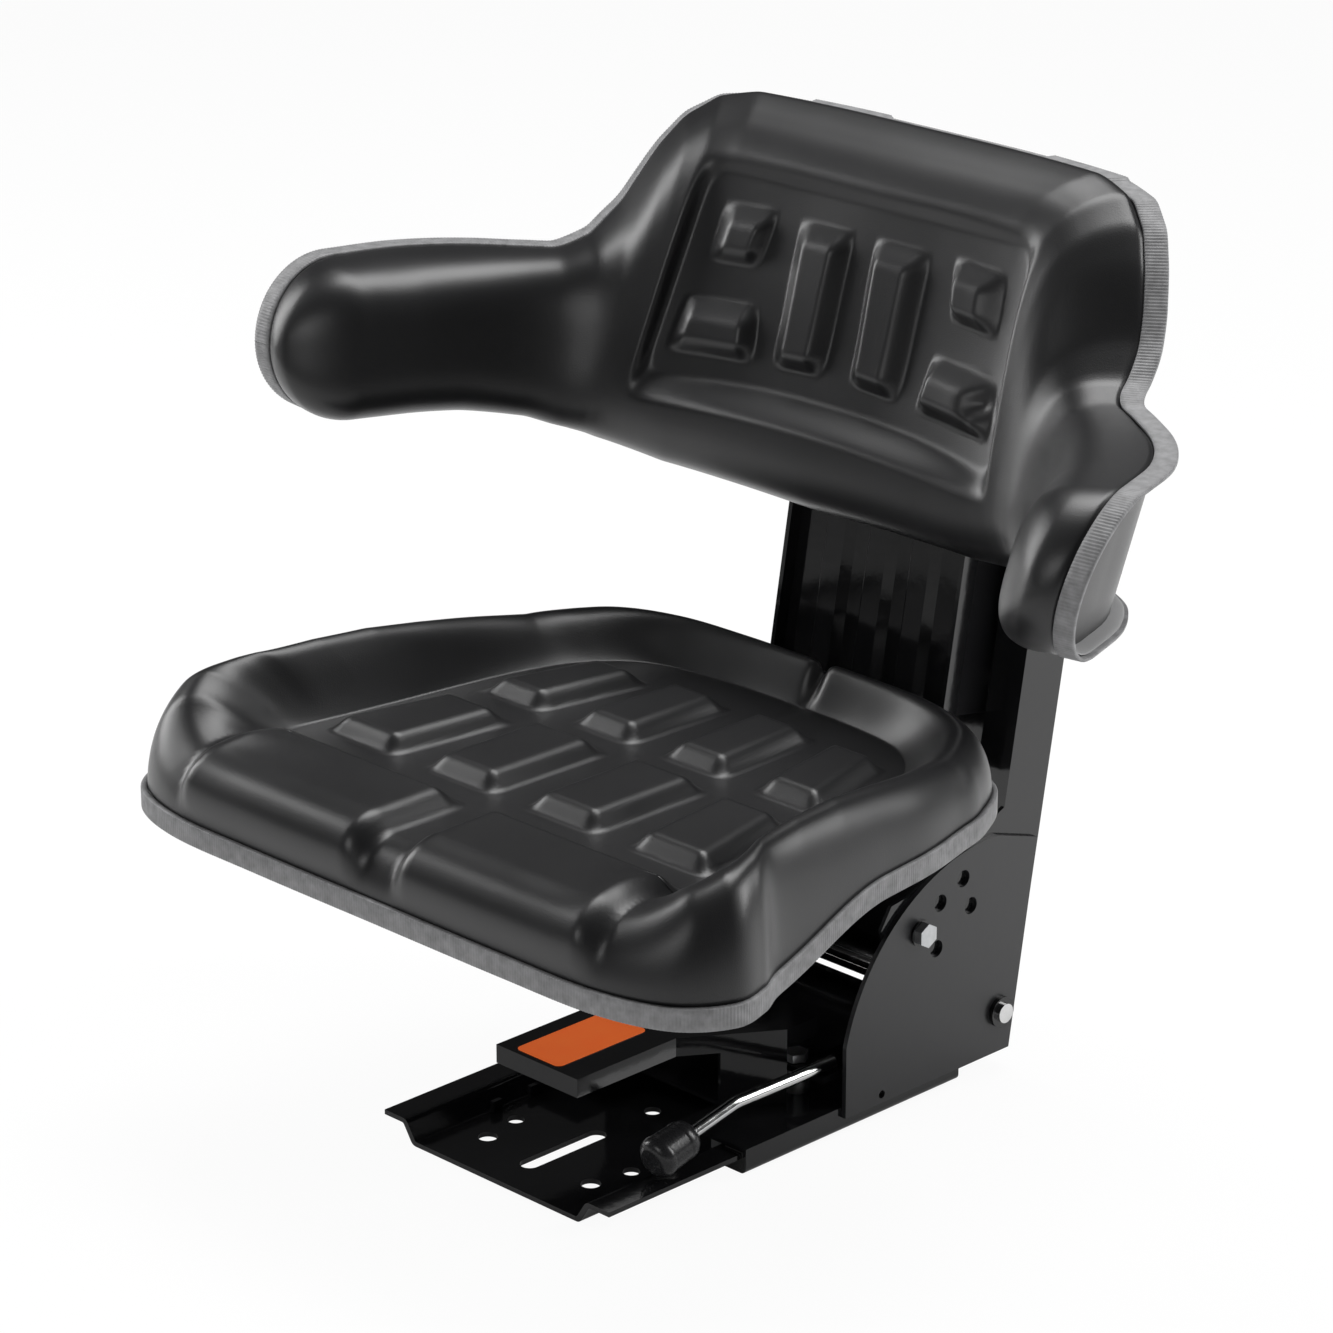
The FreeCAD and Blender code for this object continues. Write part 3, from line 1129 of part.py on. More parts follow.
def cushion_parts():
    trim = doc.addObject("Part::Feature", "seat_trim")
    band = edge_band(0, dim.trim_tall.value)
    wall = dim.trim_wall.value
    trim.Shape = plan_prism(0).cut(plan_prism(wall)).common(band)
    keep(trim, "seat_trim")

    pan = doc.addObject("Part::Feature", "seat_pan")
    pan_low = dim.pan_rise.value
    pan_high = pan_low + dim.pan_sheet.value
    pan.Shape = plan_prism(wall).common(edge_band(pan_low, pan_high))
    keep(pan, "seat_pan")

    floor = dim.floor.value

    def crest(y):
        side = floor - 4 + (dim.bolster.value - floor + 4) * smooth(y, -205, -145)
        return side - 5 * smooth(y, 60, 130)

    def ring(inset, height):
        points = cushion_plan(inset, 0)
        outer = cushion_plan(0, 0)
        return Part.Wire(spline_through([Vector(p.x, p.y, height(o.y)) for p, o in zip(points, outer)], True))

    def seam(y):
        return edge_height(y) + dim.trim_tall.value

    under, inside, round_in, dip = 165, wall + 0.6, 27, 44
    rings = [ring(inside, lambda y: under), ring(inside, seam)]
    for turn in (12, 25, 40, 55, 70, 90):
        angle = math.radians(turn)
        rings.append(ring(3 + round_in * (1 - math.cos(angle)),
                          lambda y: seam(y) + (crest(y) - seam(y)) * math.sin(angle)))
    for part in (0.25, 0.5, 0.75, 1):
        fall = 0.5 - 0.5 * math.cos(math.pi * part)
        rings.append(ring(3 + round_in + dip * part, lambda y: floor + (crest(y) - floor) * (1 - fall)))
    foam = Part.makeLoft(rings, True, True).cut(edge_band(-200, pan_high))
    top = floor + dim.block_tall.value
    blocks = []
    for side in (-1, 1):
        rows = [[(14.5, -33), (66.5, -33), (66.5, -115), (16, -115)], [(88, -38), (133, -38), (152, -115), (98, -115)],
                [(13, 66), (54, 66), (58.8, -8), (14.3, -8)], [(76, 62), (112, 62), (134, -9), (89.5, -9)]]
        for corners in rows:
            blocks.append(rounded_slab([(side * x, y) for x, y in corners][::side], floor - 3, top, 5))
        wide = [(14.3, -142), (158, -142), (168, -222), (16, -222)]
        slab = rounded_slab([(side * x, y) for x, y in wide][::side], 185, 250, 4)
        roll = [Vector(0, y, top - fall) for y, fall in ((-130, 0), (-160, 0), (-186, 2), (-203, 9), (-213, 21),
                                                         (-217, 36))]
        edge = spline_through(roll)
        back = Part.makePolygon([roll[-1], Vector(0, roll[0].y, roll[-1].z), roll[0]])
        under = Part.Face(Part.Wire([edge] + back.Edges)).extrude(Vector(400, 0, 0)).translated(Vector(-200, 0, 0))
        blocks.append(slab.common(under))
    cushion = doc.addObject("Part::Feature", "seat_cushion")
    cushion.Shape = foam.multiFuse(blocks).removeSplitter()
    keep(cushion, "seat_cushion")

    rails = doc.addObject("Part::Feature", "pan_rails")
    made = []
    for side in (-1, 1):
        wide = dim.rail_wide.value
        corner = Vector(side * dim.rail_x.value - wide / 2, -dim.rail_from.value, dim.leg_top.value)
        bar = Part.makeBox(wide, dim.rail_long.value, 60, corner)
        made.append(bar.common(edge_band(-80, pan_low)))
    rails.Shape = Part.makeCompound(made)
    keep(rails, "pan_rails")


# Backrest: foam, trim band and rear shell on one path that wraps from wing tip to wing tip

def wrap_path(right):
    """A smooth plan curve from the left wing tip to the right one, given its right half."""
    points = [Vector(-x, y, 0) for x, y in reversed(right[1:])] + [Vector(x, y, 0) for x, y in right]
    curve = Part.BSplineCurve()
    curve.interpolate(points)
    return curve


def seam_path():
    y, x, tip = dim.back_y.value, dim.wing_x.value, -dim.wing_reach.value
    return wrap_path([(0, y), (62, y), (115, y - 3), (155, y - 9), (192, y - 20), (x - 63, y - 36), (x - 28, y - 56),
                      (x - 9, y - 84), (x, y - 118), (x + 4, y - 152), (x + 6, tip)])


def face_path():
    y, x, tip = dim.back_y.value - dim.back_foam.value, dim.wing_x.value - dim.wing_foam.value, -dim.wing_reach.value
    return wrap_path([(0, y), (60, y), (112, y - 3), (152, y - 12), (184, y - 28), (x - 38, y - 48), (x - 18, y - 74),
                      (x - 6, y - 100), (x, y - 124), (x + 3, tip)])


SEAM = seam_path()
FACE = face_path()
WING_FROM, ROUND = 0.6, 0.885
SQUARENESS = 3.4
BAND_WALL, BAND_REAR = dim.band_wall.value, -dim.trim_behind.value
BAND_FRONT = dim.trim_depth.value - dim.trim_behind.value
RIM_INSET = BAND_WALL + dim.rim_gap.value
SHELL_INSET = RIM_INSET + dim.rim_step.value


def along(path, share):
    """Point of a path at a share of its half length, from -1 at the left tip to 1 at the right."""
    return path.value(path.parameterAtDistance(path.length() / 2 * (1 + share), path.FirstParameter))


def back_point(share, z, forward):
    """A point of the backrest: forward is 0 on the rear seam, 1 on the foam's face, negative behind, in mm."""
    seam, face = along(SEAM, share), along(FACE, share)
    lean = dim.back_slope.value * (1 - 0.9 * smooth(abs(share), 0.3, 0.72))
    into = face - seam
    place = seam + (into * forward if forward > 0 else into.normalize() * forward)
    return Vector(place.x, place.y + lean * (z - dim.wing_z.value), z)


def between(table, share):
    """Read a table of (share, value), straight from one entry to the next."""
    for (a, low), (b, high) in zip(table, table[1:]):
        if abs(share) <= b:
            return low + (high - low) * (abs(share) - a) / (b - a)
    return table[-1][1]


def eased(table, share):
    """The same, with the corners of the line rounded off."""
    return sum(between(table, abs(share) + step / 100) for step in range(-3, 4)) / 7


def end_round(share):
    """1 along the wings, falling to 0 in a quarter circle at their tips."""
    past = max(abs(share) - ROUND, 0) / (1 - ROUND)
    return math.sqrt(max(1 - past * past, 0))


def top_line(share):
    top, wing, middle = dim.back_top.value, dim.wing_top.value, dim.wing_z.value
    line = eased([(0, top), (0.3, top), (0.36, top - 4), (0.4, top - 16), (0.425, top - 34), (0.455, wing + 26),
                  (0.49, wing + 9), (0.54, wing + 1), (0.6, wing), (1, wing - 1)], share)
    return middle + (line - middle) * end_round(share)


def bottom_line(share):
    low, wing, middle = dim.back_bottom.value, dim.wing_bottom.value, dim.wing_z.value
    line = eased([(0, low), (0.3, low + 2), (0.5, wing - 2), (0.6, wing), (1, wing + 1)], share)
    return middle + (line - middle) * end_round(share)


STATIONS = [0, 0.12, 0.24, 0.29, 0.33, 0.36, 0.385, 0.41, 0.435, 0.46, 0.485, 0.52, 0.56, 0.62, 0.7, 0.78, 0.84]
STATIONS += [ROUND + (1 - ROUND) * math.sin(math.radians(turn)) for turn in (0, 22, 42, 60, 74, 84)]


def back_loft(section, end, ruled=False):
    """Loft one section after another along the path; end is the share of the path that it covers."""
    squeeze = (end - WING_FROM) / (1 - WING_FROM)
    wires = []
    for place in [-s for s in reversed(STATIONS[1:])] + STATIONS:
        share = min(abs(place), WING_FROM) + max(abs(place) - WING_FROM, 0) * squeeze
        wires.append(section(math.copysign(share, place), place))
    return Part.makeLoft(wires, True, ruled, False, 2)


def dome(share, place, inset, depth):
    """Points of a bulging half section from its top to its bottom, depth as in back_point."""
    high, low = top_line(place), bottom_line(place)
    middle, half = (high + low) / 2, (high - low) / 2
    half -= inset * end_round(place)
    points = []
    for step in range(13):
        angle = math.pi * step / 12
        up = math.copysign(abs(math.cos(angle)) ** (2 / SQUARENESS), math.cos(angle))
        out = math.sin(angle) ** (2 / SQUARENESS) if 0 < step < 12 else 0
        points.append(back_point(share, middle + half * up, depth * (0.25 + 0.75 * end_round(place)) * out))
    return points


def foam_section(share, place):
    """Foam: bulging forward to its face and rearward to the inside of the shell, whose rim it rests on."""
    wall = dim.shell_wall.value
    front = dome(share, place, RIM_INSET, 1)
    rear = dome(share, place, SHELL_INSET + wall + 0.6, wall + 0.3 - dim.shell_depth.value)[::-1]
    return Part.Wire([spline_through(front), Part.LineSegment(front[-1], rear[0]).toShape(),
                      spline_through(rear), Part.LineSegment(rear[-1], front[0]).toShape()])


def shell_section(share, place):
    """Shell: a thin curved wall round the back of the foam."""
    wall = dim.shell_wall.value
    outer = dome(share, place, SHELL_INSET, -dim.shell_depth.value)
    inner = dome(share, place, SHELL_INSET + wall, wall - dim.shell_depth.value)[::-1]
    return Part.Wire([spline_through(outer), Part.LineSegment(outer[-1], inner[0]).toShape(),
                      spline_through(inner), Part.LineSegment(inner[-1], outer[0]).toShape()])


def boxed(inset, rear, front):
    """A square-cornered section from rear, in mm behind the seam, to front, a share of the foam."""
    def section(share, place):
        high, low = top_line(place), bottom_line(place)
        middle, half = (high + low) / 2, (high - low) / 2
        half -= inset * end_round(place)
        corners = [back_point(share, z, n) for z, n in ((middle + half, rear), (middle + half, front),
                                                        (middle - half, front), (middle - half, rear))]
        return Part.makePolygon(corners + corners[:1])
    return section


def backrest_parts():
    foam = back_loft(foam_section, 0.985)
    slope = dim.back_slope.value

    def on_recess(shape):
        """Move a shape drawn flat, with Y up the backrest, onto the leaning seam plane."""
        frame = Placement(Vector(0, dim.back_y.value, dim.wing_z.value),
                          Rotation(Vector(1, 0, 0), math.degrees(math.atan2(1, slope))))
        return shape.transformed(frame.toMatrix())

    stretch = math.sqrt(1 + slope ** 2)

    def up(z):
        return (z - dim.wing_z.value) * stretch

    floor_level = dim.recess_floor.value
    upper, lower = dim.recess_half_top.value, dim.recess_half_low.value
    recess_top, recess_low = up(dim.recess_top.value), up(dim.recess_low.value)
    recess = [(-upper, recess_top), (upper, recess_top), (lower, recess_low), (-lower, recess_low)]
    tool = rounded_slab(recess, floor_level, 90, -9, 12)
    made = foam.cut(on_recess(tool))
    bars = []
    raised = floor_level + dim.recess_raise.value
    for side in (-1, 1):
        for corners in ([(15, 500), (41, 500), (44, 415), (14, 415)], [(68, 498), (106, 498), (111, 465), (69, 465)],
                        [(70, 444), (115, 444), (121, 411), (70, 411)]):
            flat = [(side * x, up(z)) for x, z in corners][::side]
            bars.append(on_recess(rounded_slab(flat, floor_level - 3, raised, 4, 5)))
    cushion = doc.addObject("Part::Feature", "backrest_cushion")
    cushion.Shape = made.multiFuse(bars)
    keep(cushion, "backrest_cushion")

    foam_depth = dim.back_foam.value
    band = back_loft(boxed(0, BAND_REAR, BAND_FRONT / foam_depth), 0.998, True)
    core = back_loft(boxed(BAND_WALL, BAND_REAR - 13, 0.5), 0.99, True)
    bits = []
    lip_y = dim.back_y.value + slope * (dim.back_top.value - dim.wing_z.value)
    for left, right in ((-94, -40), (69, 125)):
        low = Vector(left, lip_y - 0.3 * BAND_FRONT, dim.back_top.value - BAND_WALL / 2)
        bits.append(Part.makeBox(right - left, 6, BAND_WALL / 2 + 4, low))
    trim = doc.addObject("Part::Feature", "backrest_trim")
    trim.Shape = band.cut(core).multiFuse(bits).removeSplitter()
    keep(trim, "backrest_trim")

    shell = doc.addObject("Part::Feature", "backrest_shell")
    shell.Shape = back_loft(shell_section, 0.978)
    keep(shell, "backrest_shell")


for make in (base_plate, lock_rack, carriage_plate, slide_liners, side_plates, pivot_pin, tilt_bolts, tower,
             tower_cap, front_tray, slide_lever, roller_brackets, roller_axles, rollers, spring_gear, stops, adjuster,
             seat_panel, seat_leg, back_spacers, frame_bolts, cushion_parts, backrest_parts):
    make()

doc.recompute()
for made in doc.Objects:
    if "Invalid" in made.State or "Error" in made.State:
        raise RuntimeError(f"{made.Label} failed: {made.State}")
for made in nodes:
    if made.Shape.isNull() or not made.Shape.isValid():
        raise RuntimeError(f"{made.Label} has no valid shape")

os.makedirs("parts", exist_ok=True)
for made in nodes:
    made.Shape.exportStep(f"parts/{made.Label}.step")
    print(f"{made.Label}: {len(made.Shape.Solids)} solids, {made.Shape.Volume / 1000:.1f} cm3")
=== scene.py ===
# %% [markdown]
# # A tractor seat
# The seat is black moulded vinyl over foam, on a folded steel column that is sprung, tilts and slides.
# The imported model gives every steel piece. This script gives the surfaces their finish, models the soft
# pieces, the ribbed edge bands, the back shell and a blank label, and copies the springs with smooth
# shading. It starts with the frame, in metres.

# %% Frame
import json
import math

import bmesh
import bpy
import numpy as np
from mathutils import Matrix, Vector


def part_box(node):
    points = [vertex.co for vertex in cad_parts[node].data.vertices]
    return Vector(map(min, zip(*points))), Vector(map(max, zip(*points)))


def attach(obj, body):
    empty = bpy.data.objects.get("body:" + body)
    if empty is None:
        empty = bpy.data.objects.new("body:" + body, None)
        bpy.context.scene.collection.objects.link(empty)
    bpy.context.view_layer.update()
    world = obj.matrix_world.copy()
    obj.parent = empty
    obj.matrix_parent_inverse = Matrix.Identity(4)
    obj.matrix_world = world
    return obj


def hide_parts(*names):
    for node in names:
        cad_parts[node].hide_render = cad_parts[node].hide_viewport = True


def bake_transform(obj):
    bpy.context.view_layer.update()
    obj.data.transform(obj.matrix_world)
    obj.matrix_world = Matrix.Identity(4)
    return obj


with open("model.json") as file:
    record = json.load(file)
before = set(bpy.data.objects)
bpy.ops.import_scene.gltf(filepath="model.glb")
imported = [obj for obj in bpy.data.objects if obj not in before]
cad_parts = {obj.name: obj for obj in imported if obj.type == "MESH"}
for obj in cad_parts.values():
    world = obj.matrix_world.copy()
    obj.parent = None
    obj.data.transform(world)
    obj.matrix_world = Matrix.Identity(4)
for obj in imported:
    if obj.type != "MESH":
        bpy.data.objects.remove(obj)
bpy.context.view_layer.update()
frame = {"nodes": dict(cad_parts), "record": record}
nodes = frame["nodes"]
scene = bpy.context.scene
scene.view_settings.view_transform = "Standard"
print("steel and soft pieces in the frame:", len(nodes))

# %% [markdown]
# ## Shader maths
# A material is easier to read as arithmetic than as a list of nodes. The class below wraps one
# socket, so that `1 - mask * 0.3` adds the Math nodes that it stands for. Colours go through Mix and
# vectors through Vector Math. The other nodes of a finish come from one method, `node`.

# %% Shader maths
class Socket:
    """A node's output, or a plain number, that can be used in Python arithmetic."""

    def __init__(self, tree, link):
        self.tree, self.link = tree, link

    def maths(self, operation, *others):
        node = self.tree.nodes.new("ShaderNodeMath")
        node.operation = operation
        for slot, value in zip(node.inputs, (self, *others)):
            put(self.tree, slot, value)
        return Socket(self.tree, node.outputs[0])

    def __add__(self, other):
        return self.maths("ADD", other)

    __radd__ = __add__

    def __mul__(self, other):
        return self.maths("MULTIPLY", other)

    __rmul__ = __mul__

    def __sub__(self, other):
        return self.maths("SUBTRACT", other)

    def __rsub__(self, other):
        return (self * -1) + other

    def clamp(self):
        return self.maths("MINIMUM", 1.0).maths("MAXIMUM", 0.0)


def put(tree, slot, value):
    """Link a socket into a slot, or set the slot's own value."""
    if isinstance(value, Socket):
        tree.links.new(value.link, slot)
    elif isinstance(value, tuple) and len(value) == 3 and slot.type == "RGBA":
        slot.default_value = (*value, 1)
    else:
        slot.default_value = value


class Finish:
    """A material with one Principled shader, built up by expressions."""

    def __init__(self, name, **surface):
        self.material = bpy.data.materials.new(name)
        self.material.use_nodes = True
        self.tree = self.material.node_tree
        self.shader = self.tree.nodes["Principled BSDF"]
        self.set(**surface)

    def node(self, kind, settings=None, output=0, **inputs):
        made = self.tree.nodes.new(kind)
        for name, value in (settings or {}).items():
            setattr(made, name, value)
        for name, value in inputs.items():
            put(self.tree, made.inputs[name.replace("_", " ")], value)
        return Socket(self.tree, made.outputs[output])

    def place(self):
        return self.node("ShaderNodeTexCoord", output="Object")

    def noise(self, scale, detail=2.0, where=None):
        return self.node("ShaderNodeTexNoise", Vector=where or self.place(), Scale=scale, Detail=detail)

    def between(self, share, first, second):
        """A colour between two, by share."""
        made = self.tree.nodes.new("ShaderNodeMix")
        made.data_type = "RGBA"
        put(self.tree, made.inputs[0], share)
        put(self.tree, made.inputs[6], first)
        put(self.tree, made.inputs[7], second)
        return Socket(self.tree, made.outputs[2])

    def bump(self, height, distance, strength=1.0):
        return self.node("ShaderNodeBump", Height=height, Distance=distance, Strength=strength)

    def set(self, **surface):
        for name, value in surface.items():
            put(self.tree, self.shader.inputs[name.replace("_", " ")], value)


# %% [markdown]
# ## Camera
# The photograph looks down at the seat from its front right corner. The plates' square edges give the
# lens and the place of the camera, and those go straight into Blender's own camera.

# %% Camera
AZIMUTH, ELEVATION = math.radians(45.205), math.radians(20.555)
SENSOR, LENS = 36.0, 136.14
CAMERA_PLACE = (1.8976, -1.8786, 1.2799)
camera = bpy.data.objects.new("camera", bpy.data.cameras.new("camera"))
scene.collection.objects.link(camera)
camera.data.sensor_width = SENSOR
camera.data.lens = LENS
camera.location = CAMERA_PLACE
towards_camera = Vector((math.sin(AZIMUTH) * math.cos(ELEVATION), -math.cos(AZIMUTH) * math.cos(ELEVATION),
                         math.sin(ELEVATION)))
camera.rotation_mode = "QUATERNION"
camera.rotation_quaternion = (-towards_camera).to_track_quat("-Z", "Y")
scene.camera = camera

# %% [markdown]
# ## Floor and light
# A product shot on white: a pale floor that runs out of the view, and a few large soft lamps. Black
# vinyl shows almost nothing but reflections, so the lamps' sizes and places draw its form. The floor and
# the world are white to the camera and nearly black to reflections, and the floor keeps a soft shadow.

# %% Floor and light
FLOOR_SHOWS_SHADOW, FLOOR_IN_REFLECTIONS = 0.06, 0.09
WORLD_ON_SURFACES, WORLD_IN_REFLECTIONS = 0.25, 0.04


def white_surface(tree, output, lit):
    """Mix a lit shader with plain white, for rays from the camera and a little for reflections."""
    path = tree.nodes.new("ShaderNodeLightPath")
    seen = Socket(tree, path.outputs["Is Camera Ray"])
    seen = seen + Socket(tree, path.outputs["Is Glossy Ray"]) * FLOOR_IN_REFLECTIONS
    seen = (seen + Socket(tree, path.outputs["Is Transmission Ray"])).clamp()
    glow = tree.nodes.new("ShaderNodeEmission")
    glow.inputs["Color"].default_value = (1, 1, 1, 1)
    mix = tree.nodes.new("ShaderNodeMixShader")
    put(tree, mix.inputs[0], seen * (1 - FLOOR_SHOWS_SHADOW))
    tree.links.new(lit, mix.inputs[1])
    tree.links.new(glow.outputs[0], mix.inputs[2])
    tree.links.new(mix.outputs[0], output)


bpy.ops.mesh.primitive_plane_add(size=40)
floor = bpy.context.object
floor.name = "floor"
floor.location.z = -0.0005
pale = Finish("pale_floor", Base_Color=(0.86, 0.86, 0.86), Roughness=0.9, Specular_IOR_Level=0.0)
white_surface(pale.tree, pale.tree.nodes["Material Output"].inputs[0], pale.shader.outputs[0])
floor.data.materials.append(pale.material)

world = bpy.data.worlds.new("studio")
world.use_nodes = True
scene.world = world
sky = world.node_tree
path = sky.nodes.new("ShaderNodeLightPath")
seen = (Socket(sky, path.outputs["Is Camera Ray"]) + Socket(sky, path.outputs["Is Transmission Ray"])).clamp()
shiny = Socket(sky, path.outputs["Is Glossy Ray"])
put(sky, sky.nodes["Background"].inputs["Color"], (1.0, 1.0, 1.0))
put(sky, sky.nodes["Background"].inputs["Strength"],
    seen * (1 - WORLD_ON_SURFACES) + shiny * (WORLD_IN_REFLECTIONS - WORLD_ON_SURFACES) + WORLD_ON_SURFACES)


def softbox(name, place, size, watts, aim=(0, 0, 0.3)):
    """A rectangular lamp that faces the seat."""
    light = bpy.data.lights.new(name, "AREA")
    light.shape = "RECTANGLE"
    light.size, light.size_y = size
    light.energy = watts
    lamp = bpy.data.objects.new(name, light)
    scene.collection.objects.link(lamp)
    lamp.location = place
    lamp.rotation_euler = (Vector(aim) - Vector(place)).to_track_quat("-Z", "Y").to_euler()


softbox("top_box", (-0.3, 0.6, 2.3), (1.6, 1.0), 46)
softbox("left_box", (-2.2, -0.6, 1.1), (0.7, 1.6), 32)
softbox("right_box", (1.5, 1.6, 1.3), (0.7, 1.4), 34)
softbox("front_box", (0.2, -2.6, 1.5), (1.2, 0.7), 12)

# %% [markdown]
# ## Finishes
# Each finish starts from one or two noise patterns on Object coordinates: a large one for handling
# marks, a small one for grain. They reach only colour, roughness and normal.

# %% Vinyl
def vinyl(name, rough=0.34):
    """Black moulded vinyl: a fine grain, slightly uneven gloss."""
    made = Finish(name, Specular_IOR_Level=0.5)
    wide, fine = made.noise(9, 3), made.noise(900, 2)
    cells = made.node("ShaderNodeTexVoronoi", {"feature": "F1"}, Vector=made.place(), Scale=1300)
    made.set(Base_Color=made.between(wide, (0.006, 0.006, 0.0065), (0.012, 0.012, 0.013)),
             Roughness=(wide - 0.5) * 0.12 + fine * 0.05 + rough,
             Normal=made.bump(fine * 0.4 + cells * 0.6, 0.0002, 0.25))
    return made.material


def enamel(name, colour, rough):
    """Sprayed paint on steel: faint orange peel, a little dust in the gloss."""
    made = Finish(name, Specular_IOR_Level=0.5)
    peel, dust = made.noise(140, 2), made.noise(26, 4)
    lighter = tuple(c * 1.35 + 0.003 for c in colour)
    made.set(Base_Color=made.between(dust, colour, lighter), Roughness=(dust - 0.5) * 0.12 + rough,
             Normal=made.bump(peel, 0.0004, 0.12))
    return made.material


def bare_metal(name, colour, rough, scale=300):
    """Plated steel with a mottled, slightly scratched face."""
    made = Finish(name, Metallic=1.0)
    mottle, fine = made.noise(scale, 3), made.noise(scale * 6, 2)
    darker = tuple(c * 0.72 for c in colour)
    made.set(Base_Color=made.between(mottle, darker, colour), Roughness=(mottle - 0.5) * 0.2 + rough,
             Normal=made.bump(fine, 0.0001, 0.2))
    return made.material


def plastic(name, colour, rough, scale=700, patches=12, spread=1.3):
    """Moulded plastic or rubber, with a grain and lighter patches."""
    made = Finish(name, Specular_IOR_Level=0.4)
    grain, wide = made.noise(scale, 2), made.noise(patches, 3)
    lighter = tuple(c * spread + 0.002 for c in colour)
    made.set(Base_Color=made.between(wide, colour, lighter), Roughness=(grain - 0.5) * 0.12 + rough,
             Normal=made.bump(grain, 0.0003, 0.25))
    return made.material


FINISHES = {
    "vinyl": vinyl("vinyl"),
    "edge_band": plastic("edge_band", (0.1, 0.1, 0.102), 0.5, 1500, 170, 3.0),
    "shell_plastic": plastic("shell_plastic", (0.3, 0.3, 0.303), 0.4),
    "black_enamel": enamel("black_enamel", (0.004, 0.004, 0.0045), 0.1),
    "satin_plate": enamel("satin_plate", (0.009, 0.009, 0.01), 0.32),
    "zinc": bare_metal("zinc", (0.55, 0.56, 0.57), 0.34),
    "bright_rod": bare_metal("bright_rod", (0.72, 0.72, 0.72), 0.16, 90),
    "spring_steel": bare_metal("spring_steel", (0.2, 0.2, 0.21), 0.35),
    "knob_plastic": plastic("knob_plastic", (0.012, 0.012, 0.013), 0.28),
    "nylon": plastic("nylon", (0.52, 0.5, 0.45), 0.45),
    "black_nylon": plastic("black_nylon", (0.012, 0.012, 0.012), 0.5),
    "stop_rubber": plastic("stop_rubber", (0.02, 0.02, 0.02), 0.7),
}
for part in frame["record"]["subparts"]:
    steel = nodes[part["node"]]
    steel.data.materials.clear()
    steel.data.materials.append(FINISHES[part["material_slot"]])

# %% [markdown]
# ## Grids
# The cushion and the backrest are smooth moulded skins, so each is a fine grid of points worked out by
# formula, which keeps the highlights clean. These helpers turn a grid into a mesh.

# %% Grids
MERGE_WITHIN = 2e-5


def smooth(value, low, high):
    """0 below low, 1 above high, and a soft step between."""
    share = np.clip((value - low) / (high - low), 0, 1)
    return share * share * (3 - 2 * share)


def grid_faces(rows, columns, wrap=False, first=0):
    """Quads of a grid of points; wrap joins the last column to the first."""
    faces = []
    for row in range(rows - 1):
        for column in range(columns if wrap else columns - 1):
            after = (column + 1) % columns
            a, b = first + row * columns + column, first + row * columns + after
            faces.append((a, b, b + columns, a + columns))
    return faces


def new_piece(name, points, faces, finish):
    """A smooth mesh object with one finish."""
    mesh = bpy.data.meshes.new(name)
    mesh.from_pydata([tuple(p) for p in points], [], faces)
    mesh.validate()
    mesh.polygons.foreach_set("use_smooth", [True] * len(mesh.polygons))
    piece = bpy.data.objects.new(name, mesh)
    scene.collection.objects.link(piece)
    mesh.materials.append(FINISHES[finish])
    return piece


def outwards(piece):
    """Merge doubles and turn every face outwards."""
    work = bmesh.new()
    work.from_mesh(piece.data)
    bmesh.ops.remove_doubles(work, verts=work.verts, dist=MERGE_WITHIN)
    bmesh.ops.recalc_face_normals(work, faces=work.faces)
    work.to_mesh(piece.data)
    work.free()
    return piece


def finish_piece(piece, body, slot, *stands_for):
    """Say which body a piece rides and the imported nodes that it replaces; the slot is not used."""
    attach(piece, body)
    if stands_for:
        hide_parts(*stands_for)
    print(piece.name, "faces:", len(piece.data.polygons))


def natural_curve(points, count, closed=False):
    """Evenly spaced points on a smooth curve through a few chosen ones."""
    points = np.array(points, float)
    if closed:
        points = np.vstack([points[-2:], points, points[:3]])
    else:
        points = np.vstack([2 * points[0] - points[1], points, 2 * points[-1] - points[-2]])
    dense = []
    for a, b, c, d in zip(points, points[1:], points[2:], points[3:]):
        for t in np.linspace(0, 1, 40, endpoint=False):
            dense.append(0.5 * ((2 * b) + (c - a) * t + (2 * a - 5 * b + 4 * c - d) * t ** 2
                                + (3 * b - a - 3 * c + d) * t ** 3))
    if closed:
        dense = dense[40:-40]
    dense = np.array(dense + ([dense[0]] if closed else [points[-2]]))
    travelled = np.concatenate([[0], np.cumsum(np.linalg.norm(np.diff(dense, axis=0), axis=1))])
    wanted = np.linspace(0, travelled[-1], count + 1 if closed else count)
    made = np.stack([np.interp(wanted, travelled, dense[:, k]) for k in range(dense.shape[1])], 1)
    return made[:-1] if closed else made


# %% [markdown]
# ## Cushion
# On the real seat one vinyl skin covers moulded foam: a flat dish with raised pads, a high bolster round
# three sides and a rounded front edge. It could be sculpted, but its shape follows rules, so it is
# worked out: rings of points climb from the edge band over the bolster to the foot of the dish, and a
# patch of points fills the dish. The pads are then raised along the skin's own normals.

# %% Cushion plan
MM = 0.001
TRIM_TALL = 13 * MM
EDGE_FRONT, EDGE_REAR = 188 * MM, 207 * MM
FLOOR = 230 * MM
SIDE_POINTS = 140
SKIN_INSET, WAIST_INSET = 3 * MM, 4.6 * MM
BOTTOM_ABOVE_EDGE, SEAM_DEEP = 4.5 * MM, 2 * MM
RIDGE_AT, CORNERS_OUT = 0.38, 20 * MM

